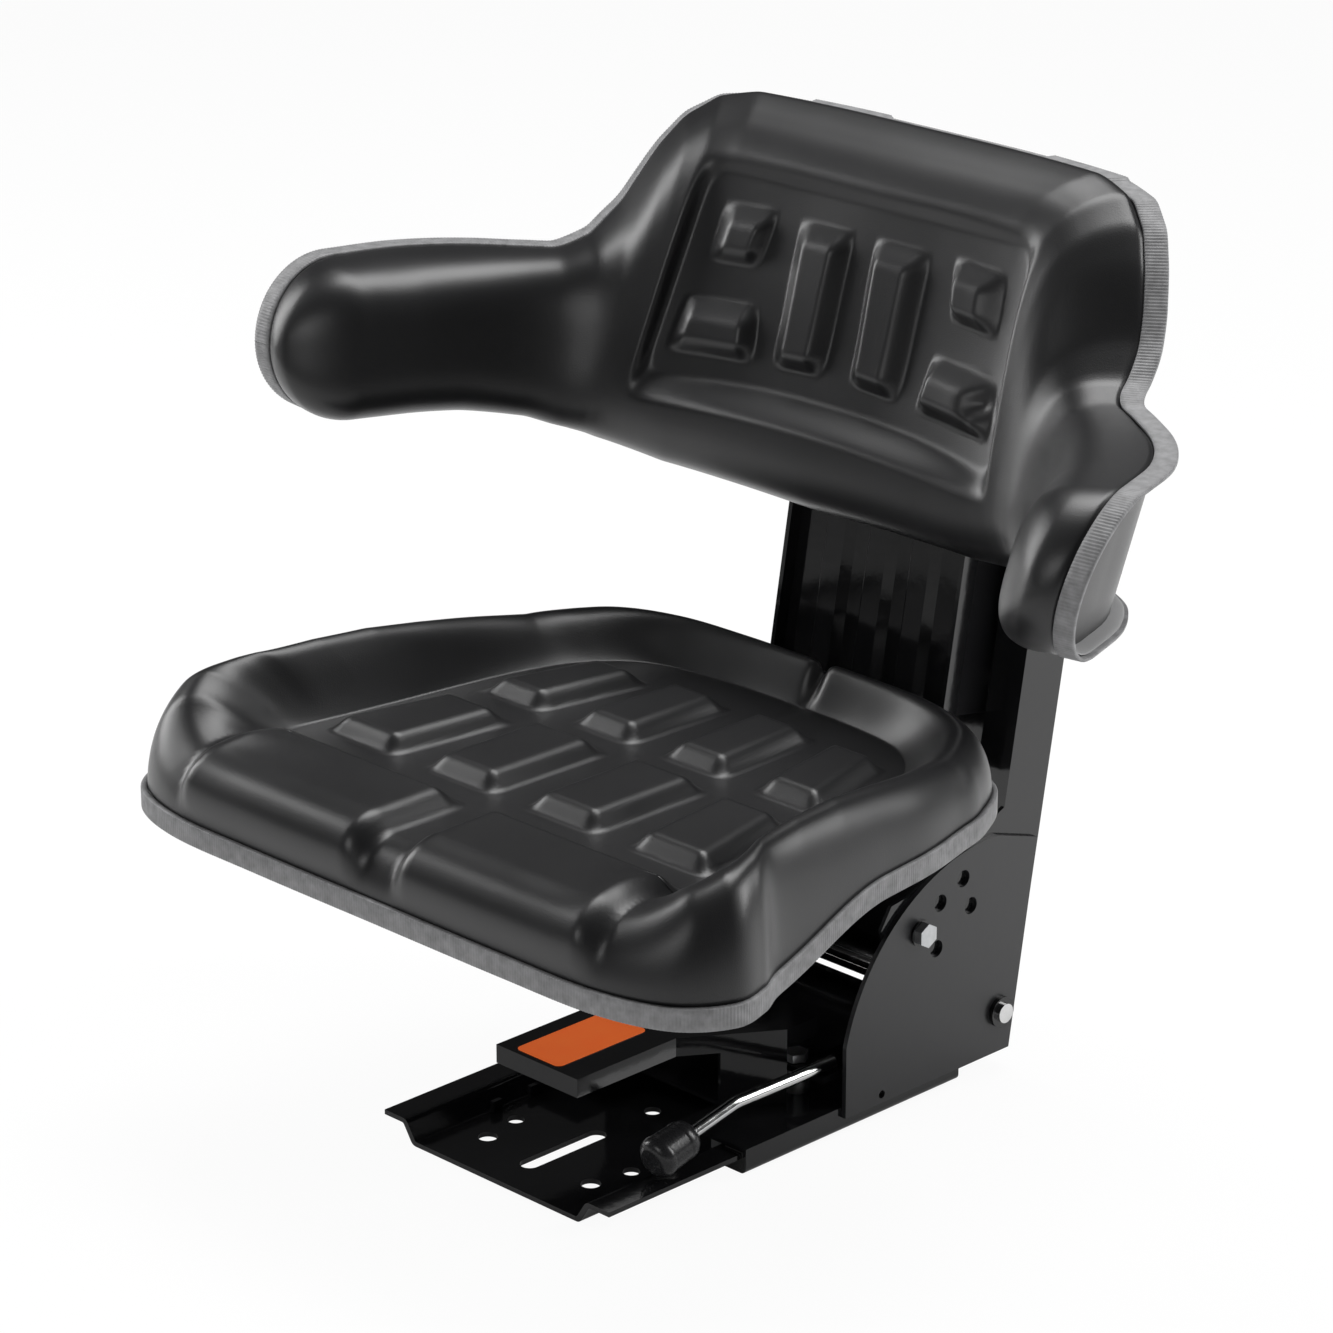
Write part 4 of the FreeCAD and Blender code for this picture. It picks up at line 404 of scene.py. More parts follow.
PLAN = [(0, -221), (99, -221), (170, -219), (215, -205), (236, -178), (233, -153), (222, -129), (213, -83),
        (205, -30), (199, 13), (190, 48), (180.9, 77), (157.5, 111), (110, 129), (55, 132), (0, 132)]
FOOT = [(0, -150), (80, -151), (135, -154), (160, -150), (168, -132), (165, -105), (158, -60), (151, -10),
        (143, 30), (128, 66), (98, 92), (50, 101), (0, 102)]


def closed_outline(right, inset=0.0):
    """The whole outline from its right half, in metres, drawn in by a share of its size."""
    points = right + [(-x, y) for x, y in reversed(right[1:-1])]
    outline = natural_curve(np.array(points, float) * MM, 2400, closed=True)
    middle = (outline[:, 1].min() + outline[:, 1].max()) / 2
    reach = (outline[:, 1].max() - outline[:, 1].min()) / 2
    side = outline[:, 0].max() - CORNERS_OUT
    across = (side - inset) / side
    return np.stack([outline[:, 0] * across, middle + (outline[:, 1] - middle) * (1 - inset / reach)], 1)


def four_sides(outline, corners):
    """Split a closed outline at its four corners, and space each side's points evenly."""
    at = [int(np.argmin(np.linalg.norm(outline - np.array(c) * MM, axis=1))) for c in corners]
    sides = []
    for here, following in zip(at, at[1:] + at[:1]):
        run = np.roll(outline, -here, axis=0)[:(following - here) % len(outline) + 1]
        travelled = np.concatenate([[0], np.cumsum(np.linalg.norm(np.diff(run, axis=0), axis=1))])
        wanted = np.linspace(0, travelled[-1], SIDE_POINTS + 1)[:-1]
        sides.append(np.stack([np.interp(wanted, travelled, run[:, k]) for k in (0, 1)], 1))
    return np.vstack(sides)


def patch(ring):
    """Fill a ring of four equal sides with a grid of points between them."""
    n = SIDE_POINTS
    front, right = ring[0:n + 1], ring[n:2 * n + 1]
    rear, left = ring[2 * n:3 * n + 1][::-1], np.vstack([ring[3 * n:], ring[:1]])[::-1]
    u = np.linspace(0, 1, n + 1)[None, :, None]
    v = np.linspace(0, 1, n + 1)[:, None, None]
    across = (1 - v) * front[None] + v * rear[None]
    along = (1 - u) * left[:, None] + u * right[:, None]
    flat = ((1 - u) * (1 - v) * front[0] + u * (1 - v) * front[-1] + (1 - u) * v * rear[0] + u * v * rear[-1])
    return across + along - flat


def edge_height(y):
    """The edge band's underside kicks up behind the thighs."""
    return EDGE_FRONT + (EDGE_REAR - EDGE_FRONT) * smooth(y, -0.135, -0.03)


def crest(y):
    """Height of the bolster's ridge along the seat."""
    places = np.array([-221, -213, -194, -175, -138, -100, -61, -22, 18, 58, 95, 132]) * MM
    heights = np.array([226, 236, 254, 262, 267, 268, 267, 263, 258, 253, 253, 254]) * MM
    return np.interp(y, places, heights)


# %% Cushion pads
def side_depths(x, y, corners):
    """How deep points lie inside each side of an outline given anticlockwise in mm."""
    corners = [(cx * MM, cy * MM) for cx, cy in corners]
    return [((bx - ax) * (y - ay) - (by - ay) * (x - ax)) / math.hypot(bx - ax, by - ay)
            for (ax, ay), (bx, by) in zip(corners, corners[1:] + corners[:1])]


def quad_depth(x, y, corners, soft):
    """How deep points lie inside the whole outline, with its corners rounded."""
    near = sum(np.exp(-np.clip(depth / soft, -60, 60)) for depth in side_depths(x, y, corners))
    return -soft * np.log(near)


def pad_rise(x, y, corners, round_edge):
    """0 outside a pad, 1 on its top, with a rounded edge between; corners are for the right side."""
    rise = np.ones(x.shape)
    for depth in side_depths(np.abs(x), y, corners):
        share = np.clip(depth / round_edge, 0, 1)
        rise = rise * (0.6 * np.sin(share * math.pi / 2) + 0.4 * share * share * (3 - 2 * share))
    return rise


PADS = [[(12, -119), (70, -119), (70, -29), (11, -29)], [(94, -119), (156, -119), (137, -34), (84, -34)],
        [(11, -12), (62, -12), (58, 70), (10, 70)], [(86, -13), (138, -13), (116, 66), (72, 66)]]
FRONT_PAD = [(12, -268), (174, -268), (163, -138), (11, -138)]
PAD_HIGH, PAD_EDGE, FRONT_PAD_HIGH, FRONT_PAD_EDGE = 9.5 * MM, 12 * MM, 11 * MM, 14 * MM
NOTCH_X, NOTCH_WIDE, NOTCH_DEEP = 16 * MM, 4.5 * MM, 6 * MM


# %% Cushion skin
def cushion_skin():
    """The closed skin: up the side, over the bolster, down to the dish, and across its floor."""
    corners = [(-226, -195), (226, -195), (166, 104), (-166, 104)]
    foot_corners = [(-163, -148), (163, -148), (115, 80), (-115, 80)]
    outer = four_sides(closed_outline(PLAN, SKIN_INSET), corners)
    waist = four_sides(closed_outline(PLAN, WAIST_INSET), corners)
    foot = four_sides(closed_outline(FOOT), foot_corners)
    seam = edge_height(outer[:, 1]) + TRIM_TALL
    ridge = crest(outer[:, 1])
    rings = [np.column_stack([waist, edge_height(waist[:, 1]) + BOTTOM_ABOVE_EDGE]),
             np.column_stack([waist, seam - SEAM_DEEP])]
    for turn in np.linspace(0, math.pi / 2, 30):
        share = RIDGE_AT * (1 - math.cos(turn))
        height = seam + (ridge - seam) * math.sin(turn)
        rings.append(np.column_stack([outer + (foot - outer) * share, height]))
    for step in np.linspace(0, 1, 34)[1:]:
        share = RIDGE_AT + (1 - RIDGE_AT) * step
        fall = 0.45 * (1 - step ** 2) + 0.55 * (0.5 + 0.5 * math.cos(math.pi * step))
        rings.append(np.column_stack([outer + (foot - outer) * share, FLOOR + (ridge - FLOOR) * fall]))
    columns = 4 * SIDE_POINTS
    points = [np.vstack(rings)]
    faces = grid_faces(len(rings), columns, wrap=True)

    def fill(ring_start, ring, height, flip):
        """Fill the ring that starts at one point index with a patch."""
        grid = patch(ring)
        n = SIDE_POINTS
        index = np.full((n + 1, n + 1), -1)
        index[0, :] = ring_start + np.arange(n + 1)
        index[:, n] = ring_start + n + np.arange(n + 1)
        index[n, :] = ring_start + 3 * n - np.arange(n + 1)
        index[:, 0] = ring_start + (4 * n - np.arange(n + 1)) % columns
        start = sum(len(block) for block in points)
        index[1:n, 1:n] = start + np.arange((n - 1) ** 2).reshape(n - 1, n - 1)
        inner = grid[1:n, 1:n].reshape(-1, 2)
        points.append(np.column_stack([inner, height(inner[:, 0], inner[:, 1])]))
        for row in range(n):
            for column in range(n):
                a, b = index[row, column], index[row, column + 1]
                c, d = index[row + 1, column + 1], index[row + 1, column]
                faces.append((a, b, c, d) if flip else (d, c, b, a))

    fill((len(rings) - 1) * columns, foot, lambda x, y: np.full(x.shape, FLOOR), True)
    fill(0, waist, lambda x, y: edge_height(y) + BOTTOM_ABOVE_EDGE, False)
    piece = new_piece("cushion_skin", np.vstack(points), faces, "vinyl")
    return outwards(piece)


def raise_pads(piece):
    """Lift the pads out of the skin along its own normals."""
    mesh = piece.data
    count = len(mesh.vertices)
    places, normals = np.empty(count * 3), np.empty(count * 3)
    mesh.vertices.foreach_get("co", places)
    mesh.vertices.foreach_get("normal", normals)
    places, normals = places.reshape(-1, 3), normals.reshape(-1, 3)
    x, y, z = places.T
    on_top = smooth(normals[:, 2], -0.2, 0.1) * (z > FLOOR - 0.045)
    rise = np.zeros(count)
    for corners in PADS:
        rise = np.maximum(rise, pad_rise(x, y, corners, PAD_EDGE))
    front = pad_rise(x, y, FRONT_PAD, FRONT_PAD_EDGE) * smooth(z, edge_height(y) + TRIM_TALL, FLOOR - 0.002)
    rise = np.maximum(rise * PAD_HIGH, front * FRONT_PAD_HIGH) * on_top
    notch = np.exp(-((x - NOTCH_X) / NOTCH_WIDE) ** 2) * smooth(y, 0.07, 0.1) * smooth(z, 0.225, 0.25)
    rise -= notch * NOTCH_DEEP
    mesh.vertices.foreach_set("co", (places + normals * rise[:, None]).ravel())
    mesh.update()


cushion = cushion_skin()
raise_pads(cushion)
finish_piece(cushion, "seat", "vinyl", "seat_cushion")

# %% [markdown]
# ## Backrest
# The backrest is one pad that wraps round the sitter from arm to arm. Its plan is a smooth curve, so the
# skin is a row of upright sections along that curve. Each section bulges forward from the seam, the back
# leans back, the arms lean out, and their ends shrink to a rounded tip. The shallow recess and its pads
# are pressed into the face.

# %% Backrest path
WING_Z, LEAN, ARM_LEAN = 405 * MM, 0.374, 0.18
SEAM_RIGHT = [(0, 154), (62, 154), (115, 151), (155, 145), (192, 134), (235, 114), (268, 91), (290, 63),
              (302, 31), (311, -1), (318, -32)]
FACE_RIGHT = [(0, 119), (60, 119), (112, 119), (152, 116), (176, 108), (197, 92), (217, 69), (237, 41),
              (252, 14), (264, -10), (272, -32)]
TIP_STARTS, SQUARENESS = 0.885, 3.4
WING_FROM, FOAM_END, BAND_END, SHELL_END = 0.6, 0.984, 0.97, 0.962
UNDER_END, SECTION_END, REAR_END = 0.964, 0.95, 0.95
BAND_BEHIND, BAND_ARMS, BAND_WIDE = -18 * MM, 4 * MM, 13.3 * MM


def wrapped(right):
    """A fine curve from the left tip to the right tip."""
    points = [(-x, y) for x, y in reversed(right[1:])] + right
    return natural_curve(np.array(points, float) * MM, 2001)


SEAM_LINE, FACE_LINE = wrapped(SEAM_RIGHT), wrapped(FACE_RIGHT)
TOP = [(0, 546), (0.3, 546), (0.36, 542), (0.4, 530), (0.425, 512), (0.455, 479), (0.49, 462), (0.54, 454),
       (0.6, 453), (1, 452)]
BOTTOM = [(0, 341), (0.3, 343), (0.48, 350), (0.58, 357), (0.7, 360), (1, 360)]


def read(table, share):
    """Read a table of (share, millimetres) smoothly, in metres."""
    places, heights = np.array(table).T
    fine = np.linspace(-1.05, 1.05, 2101)
    rough = np.interp(np.abs(fine), places, heights)
    soft = np.convolve(np.pad(rough, 12, mode="edge"), np.hanning(25) / np.hanning(25).sum(), "valid")
    return np.interp(share, fine, soft) * MM


def on_line(line, share):
    """Points of a fine line at shares from -1 to 1."""
    at = np.linspace(-1, 1, len(line))
    return np.stack([np.interp(share, at, line[:, k]) for k in (0, 1)], -1)


def tip(share):
    """1 along the arm and down to 0 at its end, as a quarter of an ellipse."""
    past = np.clip((np.abs(share) - TIP_STARTS) / (1 - TIP_STARTS), 0, 1)
    return np.sqrt(np.clip(1 - past * past, 0, 1))


def back_place(share, z, depth):
    """A point of the backrest: depth is in metres from the seam's surface, forward to the face."""
    seam, face = on_line(SEAM_LINE, share), on_line(FACE_LINE, share)
    lean = LEAN * (1 - 0.52 * smooth(np.abs(share), 0.3, 0.72))
    spread = np.sign(share) * ARM_LEAN * smooth(np.abs(share), 0.4, 0.65)
    into = face - seam
    place = seam + into / np.linalg.norm(into, axis=-1, keepdims=True) * depth[..., None]
    up = z - WING_Z
    return np.stack([place[..., 0] + spread * up, place[..., 1] + lean * up, z], -1)


def foam_depth(share):
    """From the seam's surface to the face."""
    return np.linalg.norm(on_line(FACE_LINE, share) - on_line(SEAM_LINE, share), axis=-1)


def half_section(count):
    """Even points round a half section, as (height, bulge), from the top to the bottom."""
    angle = np.linspace(0, math.pi, 2000)
    up = np.sign(np.cos(angle)) * np.abs(np.cos(angle)) ** (2 / SQUARENESS)
    out = np.abs(np.sin(angle)) ** (2 / SQUARENESS)
    travelled = np.concatenate([[0], np.cumsum(np.hypot(np.diff(up) * 2.2, np.diff(out)))])
    wanted = np.linspace(0, travelled[-1], count)
    return np.interp(wanted, travelled, up), np.interp(wanted, travelled, out)


def stations():
    """Places along the backrest: close together over the recess, wider on the arms."""
    middle = np.linspace(0, 0.46, 130)
    arm = np.linspace(0.46, TIP_STARTS, 60)[1:]
    end = TIP_STARTS + (1 - TIP_STARTS) * np.sin(np.radians(np.linspace(0, 90, 26)))[1:]
    right = np.concatenate([middle, arm, end])
    return np.concatenate([-right[:0:-1], right])


def squeezed(place, end):
    """Where a place falls along the backrest for a layer that stops at end."""
    past = np.maximum(np.abs(place) - WING_FROM, 0) * (end - WING_FROM) / (1 - WING_FROM)
    return np.sign(place) * (np.minimum(np.abs(place), WING_FROM) + past)


def outline_at(place):
    """Middle and half height of the outline at places along the backrest."""
    high, low, round_end = read(TOP, place), read(BOTTOM, place), tip(place)
    middle = WING_Z + ((high + low) / 2 - WING_Z) * round_end
    return middle, (high - low) / 2 * round_end


def band_front(share):
    """Depth of the band's front edge: far round the back behind the shoulders, near the seam on the arms."""
    return BAND_BEHIND + (BAND_ARMS - BAND_BEHIND) * smooth(np.abs(share), 0.44, 0.54)


# %% [markdown]
# The recess has soft walls, a slightly hollow floor, two long bars and four blocks. One block, low on the
# right, has a round dent, as the real one does.

# %% Backrest face
RECESS = [(-168, 381), (168, 381), (151, 526), (-151, 526)]
BACK_PADS = [[(11, 416), (54, 414), (57, 498), (9, 499)], [(83, 465), (127, 463), (123, 498), (76, 500)],
             [(69, 413), (143, 410), (137, 443), (75, 446)]]
RECESS_ENDS, RECESS_BOW, RECESS_CORNER, RECESS_WALL = 0.45, 9 * MM, 6 * MM, (-2 * MM, 14 * MM)
FLOOR_DEPTH, FLOOR_HOLLOW, BACK_PAD_HIGH, BACK_PAD_EDGE = 25 * MM, 9 * MM, 9 * MM, 13 * MM
DENT_X, DENT_Z, DENT_WIDE, DENT_DEEP = 129 * MM, 429 * MM, 7.5 * MM, 8 * MM
UNDER_BAND, REAR_POINTS = 3 * MM, 6
CLEAR_OF_BAND = [-0.003, 0.0004, 0.0016, 0.004, 0.009, 0.03]
PROUD_OF_BAND = [-3.2, -2.6, 0.2, 2.0, 2.4, 0.4]


def pressed_in(x, z, depth):
    """The recess and its pads, as a new depth for points of the face."""
    bow = RECESS_BOW * (1 - (x / 0.165) ** 2)
    inside = quad_depth(x, z - bow * smooth(z, 0.45, 0.39), RECESS, RECESS_CORNER)
    sunk = smooth(inside, *RECESS_WALL)
    rise = np.zeros(x.shape)
    for corners in BACK_PADS:
        rise = np.maximum(rise, pad_rise(x, z, corners, BACK_PAD_EDGE))
    dent = np.exp(-(((x - DENT_X) ** 2 + (z - DENT_Z) ** 2) / DENT_WIDE ** 2))
    hollow = FLOOR_HOLLOW * (1 - (x / 0.15) ** 2) * (0.35 + 0.65 * smooth(z, 0.5, 0.42))
    level = FLOOR_DEPTH - hollow + rise * BACK_PAD_HIGH - dent * DENT_DEEP
    return depth + (np.minimum(level, depth) - depth) * sunk


def backrest_skin():
    """The foam's skin: from under the band, out over it, round the face and back under the band."""
    up, out = half_section(150)
    place = np.repeat(stations()[:, None], len(up), 1)
    middle, half = outline_at(place)
    share = squeezed(place, SECTION_END)
    start = band_front(share)
    full = foam_depth(share) - start + UNDER_BAND
    depth = start - UNDER_BAND + full * (0.25 + 0.75 * tip(place)) * out
    clear = depth - start
    proud = np.interp(clear, CLEAR_OF_BAND, PROUD_OF_BAND)
    over = 1 + 1.2 * (1 - smooth(np.abs(place), 0.3, 0.4)) * (up > 0)
    proud = np.where(proud > 0, proud * over, proud)
    on_arm = smooth(np.abs(place), 0.42, 0.5)
    proud = (proud + (np.minimum(proud, -1.0) - proud) * on_arm) * MM * np.abs(up) ** 5 * np.sign(up)
    z = middle + half * up + proud * tip(place)
    past = np.sqrt(np.clip((clear - 0.0005) / 0.02, 0, 1))
    share = squeezed(place, UNDER_END + (FOAM_END - UNDER_END) * past)
    x = on_line(SEAM_LINE, share)[..., 0]
    depth = np.where(np.abs(share) < RECESS_ENDS, pressed_in(x, z, depth), depth)
    front = back_place(share, z, depth)
    edge, edge_half = outline_at(stations()[:, None])
    rear_share = squeezed(np.repeat(stations()[:, None], REAR_POINTS, 1), REAR_END)
    rear_height = edge + edge_half * np.linspace(-0.9, 0.9, REAR_POINTS)[None]
    rear = back_place(rear_share, rear_height, band_front(rear_share) - 0.002)
    loop = np.concatenate([front, rear], 1)
    faces = grid_faces(*loop.shape[:2], wrap=True)
    return outwards(new_piece("backrest_skin", loop.reshape(-1, 3), faces, "vinyl"))


backrest = backrest_skin()
finish_piece(backrest, "seat", "vinyl", "backrest_cushion")

# %% [markdown]
# ## Edge bands
# A band with fine ribs across it covers the edge of the cushion and of the backrest. Its path is a
# closed line of points, each with an outward direction. Geometry Nodes press the ribs: one wave along
# the path, with its depth as an input and its pitch from the points' spacing, moves the outer face in.

# %% Band path
RIB_PITCH, RIB_DEEP, CHAMFER = 2.0 * MM, 0.35 * MM, 0.6 * MM
BIT_HIGH, LEFT_BIT, RIGHT_BIT = 1.5 * MM, (-0.095, -0.092, -0.042, -0.039), (0.068, 0.071, 0.123, 0.126)


def spaced(line, step):
    """Even points on a closed line, as indices with fractions."""
    closed = np.vstack([line, line[:1]])
    travelled = np.concatenate([[0], np.cumsum(np.linalg.norm(np.diff(closed, axis=0), axis=1))])
    count = int(round(travelled[-1] / step / 4)) * 4
    return np.interp(np.linspace(0, travelled[-1], count, endpoint=False), travelled, np.arange(len(closed)))


def band_mesh(name, edge_at, line, wide, wall):
    """A closed band along a line of parameters; edge_at(parameters, depth) gives its points."""
    middle = edge_at(line, np.full(len(line), -wide / 2))
    at = spaced(middle, RIB_PITCH / 4)
    closed = np.vstack([line, line[:1]])
    even = np.stack([np.interp(at, np.arange(len(closed)), closed[:, k]) for k in range(line.shape[1])], 1)
    front, rear = edge_at(even, np.zeros(len(even))), edge_at(even, np.full(len(even), -wide))
    along = np.roll(front, -2, 0) - np.roll(front, 2, 0)
    across = rear - front
    outward = np.cross(along, across)
    outward /= np.linalg.norm(outward, axis=1, keepdims=True)
    centre = front.mean(0)
    if ((front - centre) * outward).sum() < 0:
        outward = -outward
    rows = [(0.0, -wall), (0.0, -CHAMFER), (0.04, 0.0), (0.27, 0.0), (0.5, 0.0), (0.73, 0.0), (0.96, 0.0),
            (1.0, -CHAMFER), (1.0, -wall)]
    points = np.stack([front + across * share + outward * lift for share, lift in rows], 1)
    count, columns = points.shape[:2]
    faces = []
    for row in range(count):
        nxt = (row + 1) % count
        for column in range(columns):
            after = (column + 1) % columns
            faces.append((row * columns + column, row * columns + after, nxt * columns + after,
                          nxt * columns + column))
    piece = new_piece(name, points.reshape(-1, 3), faces, "edge_band")
    turns = piece.data.attributes.new("turns", "FLOAT", "POINT")
    turns.data.foreach_set("value", np.repeat(np.arange(count) / 4, columns).astype(np.float32))
    outer = piece.data.attributes.new("outer", "FLOAT", "POINT")
    outer.data.foreach_set("value", np.tile([0, 0.4, 1, 1, 1, 1, 1, 0.4, 0], count).astype(np.float32))
    return piece


# %% Rib nodes
def geometry_tree(name, inputs):
    """An empty Geometry Nodes tree with a mesh in, a mesh out and named number inputs."""
    tree = bpy.data.node_groups.new(name, "GeometryNodeTree")
    tree.interface.new_socket("Geometry", in_out="INPUT", socket_type="NodeSocketGeometry")
    for label, value in inputs.items():
        tree.interface.new_socket(label, in_out="INPUT", socket_type="NodeSocketFloat").default_value = value
    tree.interface.new_socket("Geometry", in_out="OUTPUT", socket_type="NodeSocketGeometry")
    return tree, tree.nodes.new("NodeGroupInput"), tree.nodes.new("NodeGroupOutput")


def finished(tree, geometry, material, group_out):
    """Realize, set the material and send the result out."""
    realize = tree.nodes.new("GeometryNodeRealizeInstances")
    coat = tree.nodes.new("GeometryNodeSetMaterial")
    coat.inputs["Material"].default_value = material
    tree.links.new(geometry, realize.inputs[0])
    tree.links.new(realize.outputs[0], coat.inputs["Geometry"])
    tree.links.new(coat.outputs[0], group_out.inputs[0])


def rib_tree():
    """Press a wave into the outer face of a band."""
    tree, group_in, group_out = geometry_tree("pressed_ribs", {"Depth": RIB_DEEP})
    turns = tree.nodes.new("GeometryNodeInputNamedAttribute")
    outer = tree.nodes.new("GeometryNodeInputNamedAttribute")
    turns.data_type = outer.data_type = "FLOAT"
    turns.inputs["Name"].default_value, outer.inputs["Name"].default_value = "turns", "outer"
    wave = (Socket(tree, turns.outputs[0]) * (2 * math.pi)).maths("COSINE") * 0.5 - 0.5
    depth = wave * Socket(tree, outer.outputs[0]) * Socket(tree, group_in.outputs["Depth"])
    normal = tree.nodes.new("GeometryNodeInputNormal")
    scale = tree.nodes.new("ShaderNodeVectorMath")
    scale.operation = "SCALE"
    tree.links.new(normal.outputs[0], scale.inputs[0])
    put(tree, scale.inputs["Scale"], depth)
    move = tree.nodes.new("GeometryNodeSetPosition")
    tree.links.new(group_in.outputs["Geometry"], move.inputs["Geometry"])
    tree.links.new(scale.outputs[0], move.inputs["Offset"])
    finished(tree, move.outputs[0], FINISHES["edge_band"], group_out)
    return tree


def applied(piece, tree, **inputs):
    """Run a tree on a piece and keep the result as its plain mesh."""
    modifier = piece.modifiers.new("nodes", "NODES")
    modifier.node_group = tree
    for item in tree.interface.items_tree:
        if item.in_out == "INPUT" and item.name in inputs:
            modifier[item.identifier] = inputs[item.name]
    bpy.context.view_layer.update()
    made = bpy.data.meshes.new_from_object(piece.evaluated_get(bpy.context.evaluated_depsgraph_get()))
    piece.modifiers.clear()
    piece.data = made
    made.polygons.foreach_set("use_smooth", [True] * len(made.polygons))
    return piece


RIBS = rib_tree()


def bit(x, ends):
    """1 between the inner two of four places, 0 outside the outer two."""
    return smooth(x, ends[0], ends[1]) * smooth(x, ends[3], ends[2])


def backrest_edge(parameters, depth):
    """Points of the backrest's outline from (place, side) parameters, side 1 above and -1 below."""
    place, side = parameters.T
    share = squeezed(place, BAND_END)
    middle, half = outline_at(place)
    x = on_line(SEAM_LINE, share)[:, 0]
    raised = bit(x, LEFT_BIT) + bit(x, RIGHT_BIT)
    height = middle + half * side + raised * BIT_HIGH * (side > 0.99)
    return back_place(share, height, band_front(share) + depth)


def backrest_outline():
    """(place, side) all round: along the top, round the right tip, back along the bottom."""
    round_end = TIP_STARTS + (1 - TIP_STARTS) * np.sin(np.radians(np.linspace(0, 90, 60)))
    along = np.concatenate([np.linspace(0, TIP_STARTS, 500), round_end[1:]])
    places = np.concatenate([-along[:0:-1], along])
    top = np.column_stack([places, np.ones(len(places))])
    return np.vstack([top, (top * [1, -1])[::-1][1:-1]])


back_band = outwards(band_mesh("backrest_band", backrest_edge, backrest_outline(), BAND_WIDE, 2.4 * MM))
back_band = applied(back_band, RIBS, Depth=RIB_DEEP)
finish_piece(back_band, "seat", "edge_band", "backrest_trim")


def cushion_edge(parameters, depth):
    """Points of the cushion's edge: depth runs down from the top of the band."""
    x, y = parameters.T
    return np.column_stack([x, y, edge_height(y) + TRIM_TALL + depth])


seat_band = outwards(band_mesh("seat_band", cushion_edge, closed_outline(PLAN), TRIM_TALL, 3.6 * MM))
seat_band = applied(seat_band, RIBS, Depth=RIB_DEEP)
finish_piece(seat_band, "seat", "edge_band", "seat_trim")

# %% [markdown]
# ## Back shell
# A moulded shell closes the back. It sits inside the band and is drawn in a little from it, so that the
# band stands out like a lip, with a shallow waist along each arm.

# %% Back shell
SHELL_POINTS, SHELL_WALL, RIM_GAP, RIM_IN_BAND = 60, 2.2 * MM, 2.7 * MM, 3 * MM
DRAWN_IN, WAIST_DEEP, WAISTS = 12 * MM, 4.5 * MM, (0.45, -0.5)


def shell_skin():
    """An outer and an inner sheet, joined at the rim."""
    angle = np.linspace(0, math.pi, SHELL_POINTS)
    up = np.sign(np.cos(angle)) * np.abs(np.cos(angle)) ** (2 / SQUARENESS)
    place = np.repeat(stations()[:, None], SHELL_POINTS, 1)
    middle, half = outline_at(place)
    share = squeezed(place, SHELL_END)
    arm = smooth(np.abs(share), 0.5, 0.6)
    rim = band_front(share) - BAND_WIDE + RIM_IN_BAND
    drawn_in = DRAWN_IN * smooth(1 - np.abs(up), 0, 0.18) * tip(place) * (1 + 0.5 * arm)
    waist = sum(np.exp(-((up - at) / 0.1) ** 2) for at in WAISTS) * WAIST_DEEP * tip(place) * arm
    rim_half = half - RIM_GAP * tip(place)
    outer = back_place(share, middle + rim_half * up, rim + drawn_in + waist)
    inner = back_place(share, middle + rim_half * up * 0.985, rim + drawn_in * 1.1 + waist + SHELL_WALL)
    loop = np.concatenate([outer, inner[:, ::-1]], 1)
    rows, columns = loop.shape[:2]
    faces = grid_faces(rows, columns, wrap=True)
    faces.append(tuple(range(columns))[::-1])
    faces.append(tuple(range((rows - 1) * columns, rows * columns)))
    return outwards(new_piece("back_shell_skin", loop.reshape(-1, 3), faces, "shell_plastic"))


shell = shell_skin()
finish_piece(shell, "seat", "shell_plastic", "backrest_shell")
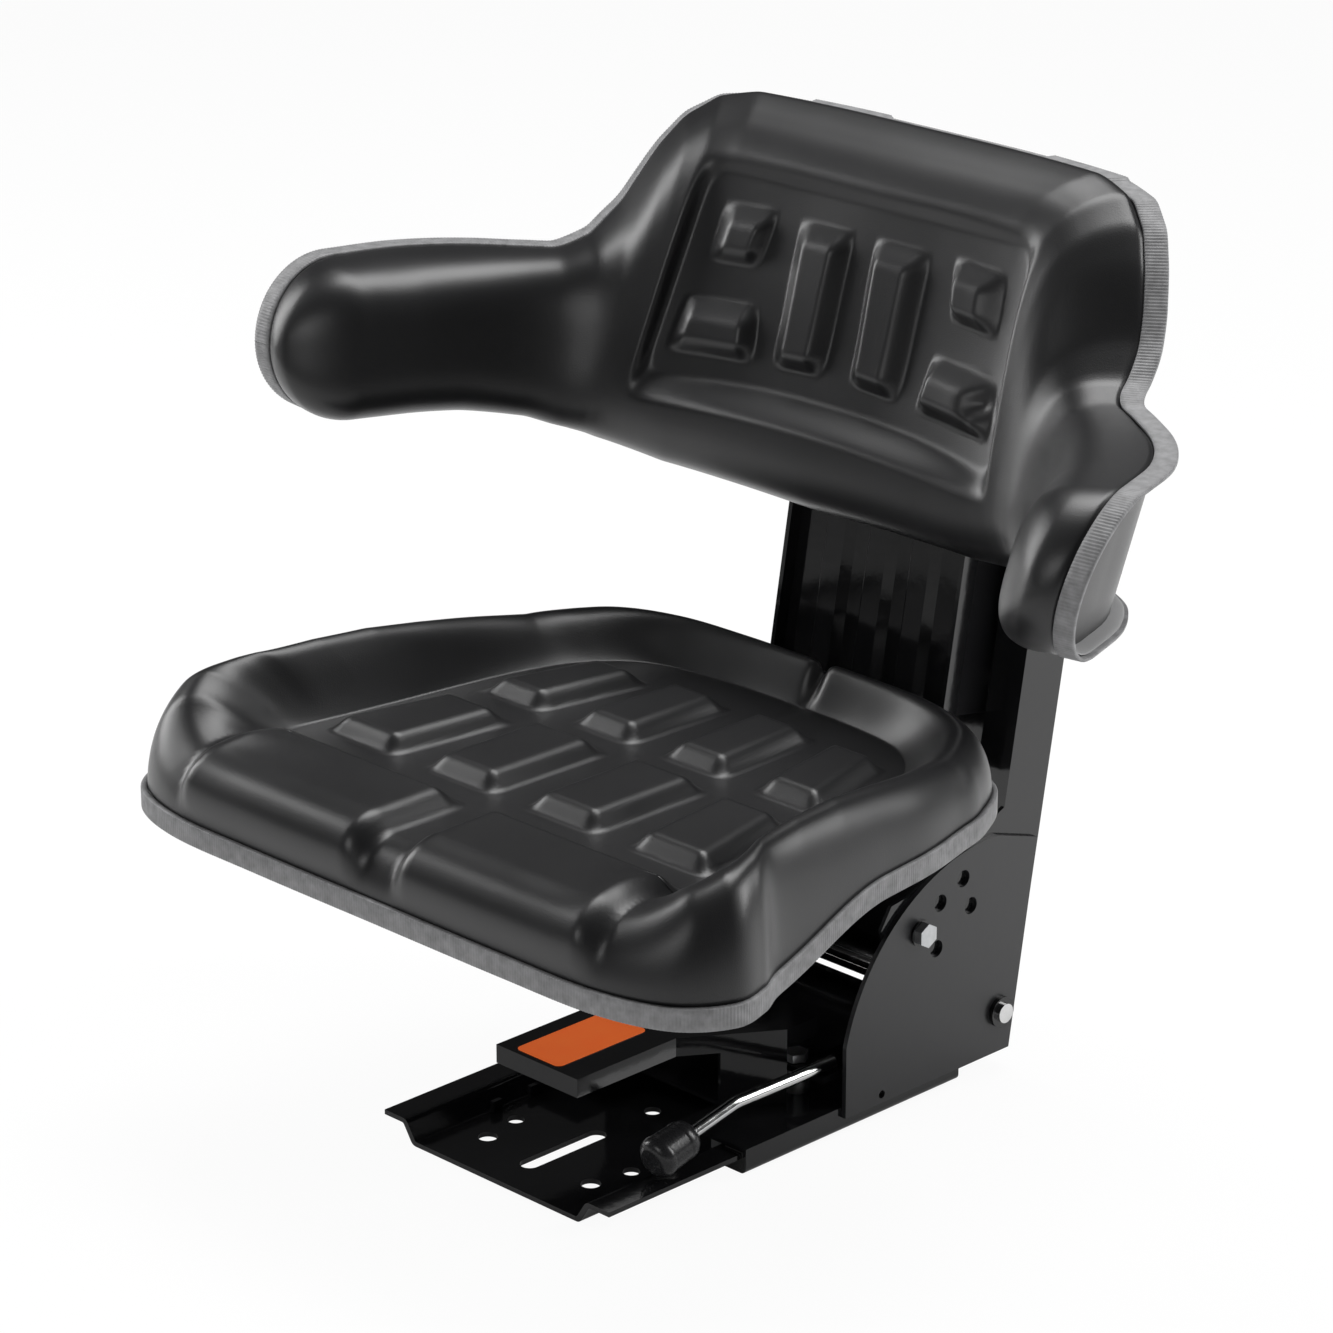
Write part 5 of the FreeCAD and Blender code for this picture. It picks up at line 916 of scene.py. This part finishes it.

# %% [markdown]
# ## Springs
# The two tension springs hang from the column and hook round a bar that goes down with the seat, so
# on the real seat they stretch. Each here is a copy of the imported spring, smooth shaded, and left as it is.

# %% Springs
for side in ("left", "right"):
    wound = nodes["tension_spring_" + side]
    coil = wound.data.copy()
    coil.transform(wound.matrix_world)
    spring = bpy.data.objects.new("stretching_spring_" + side, coil)
    scene.collection.objects.link(spring)
    coil.polygons.foreach_set("use_smooth", [True] * len(coil.polygons))
    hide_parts("tension_spring_" + side)
    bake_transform(spring)

# %% [markdown]
# ## Sticker
# A blank orange label with rounded corners lies on the front tray. It carries no words, and a faint painted
# glow keeps it bright in the cushion's shade.

# %% Sticker
LABEL_LOW, LABEL_HIGH = (-21.5 * MM, -95 * MM), (14.5 * MM, -24 * MM)
LABEL_RADIUS, LABEL_THICK, ABOVE_TRAY = 4 * MM, 0.2 * MM, 0.1 * MM


def rounded_card(name, low, high, level, radius, finish):
    """A thin card with rounded corners lying on a level face."""
    left, right, front, rear = low[0] + radius, high[0] - radius, low[1] + radius, high[1] - radius
    points = []
    for turn, (cx, cy) in enumerate([(right, rear), (left, rear), (left, front), (right, front)]):
        for angle in turn * math.pi / 2 + np.linspace(0, math.pi / 2, 9):
            points.append((cx + radius * math.cos(angle), cy + radius * math.sin(angle)))
    count = len(points)
    loops = [(x, y, z) for z in (level, level + LABEL_THICK) for x, y in points]
    faces = [tuple(range(count))[::-1], tuple(range(count, 2 * count))]
    faces += [(k, (k + 1) % count, count + (k + 1) % count, count + k) for k in range(count)]
    card = new_piece(name, loops, faces, finish)
    card.data.polygons.foreach_set("use_smooth", [False] * len(card.data.polygons))
    return card


def glowing_label_finish():
    """Orange print film, slightly mottled, with a faint glow painted in as light to lift it out of the
    cushion's shade.
    """
    # The emission is painted light: the label glows faintly so that it stays bright in the cushion's shadow.
    made = Finish("orange_label_with_painted_glow", Roughness=0.35, Emission_Color=(0.95, 0.16, 0.03), Emission_Strength=0.22)
    mottle = made.noise(60, 4)
    made.set(Base_Color=made.between(mottle, (0.9, 0.13, 0.02), (0.98, 0.2, 0.035)))
    return made.material


FINISHES["orange_label_with_painted_glow"] = glowing_label_finish()
label_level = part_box("front_tray")[1].z + ABOVE_TRAY
sticker = rounded_card("orange_sticker", LABEL_LOW, LABEL_HIGH, label_level, LABEL_RADIUS, "orange_label_with_painted_glow")
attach(sticker, "carriage")
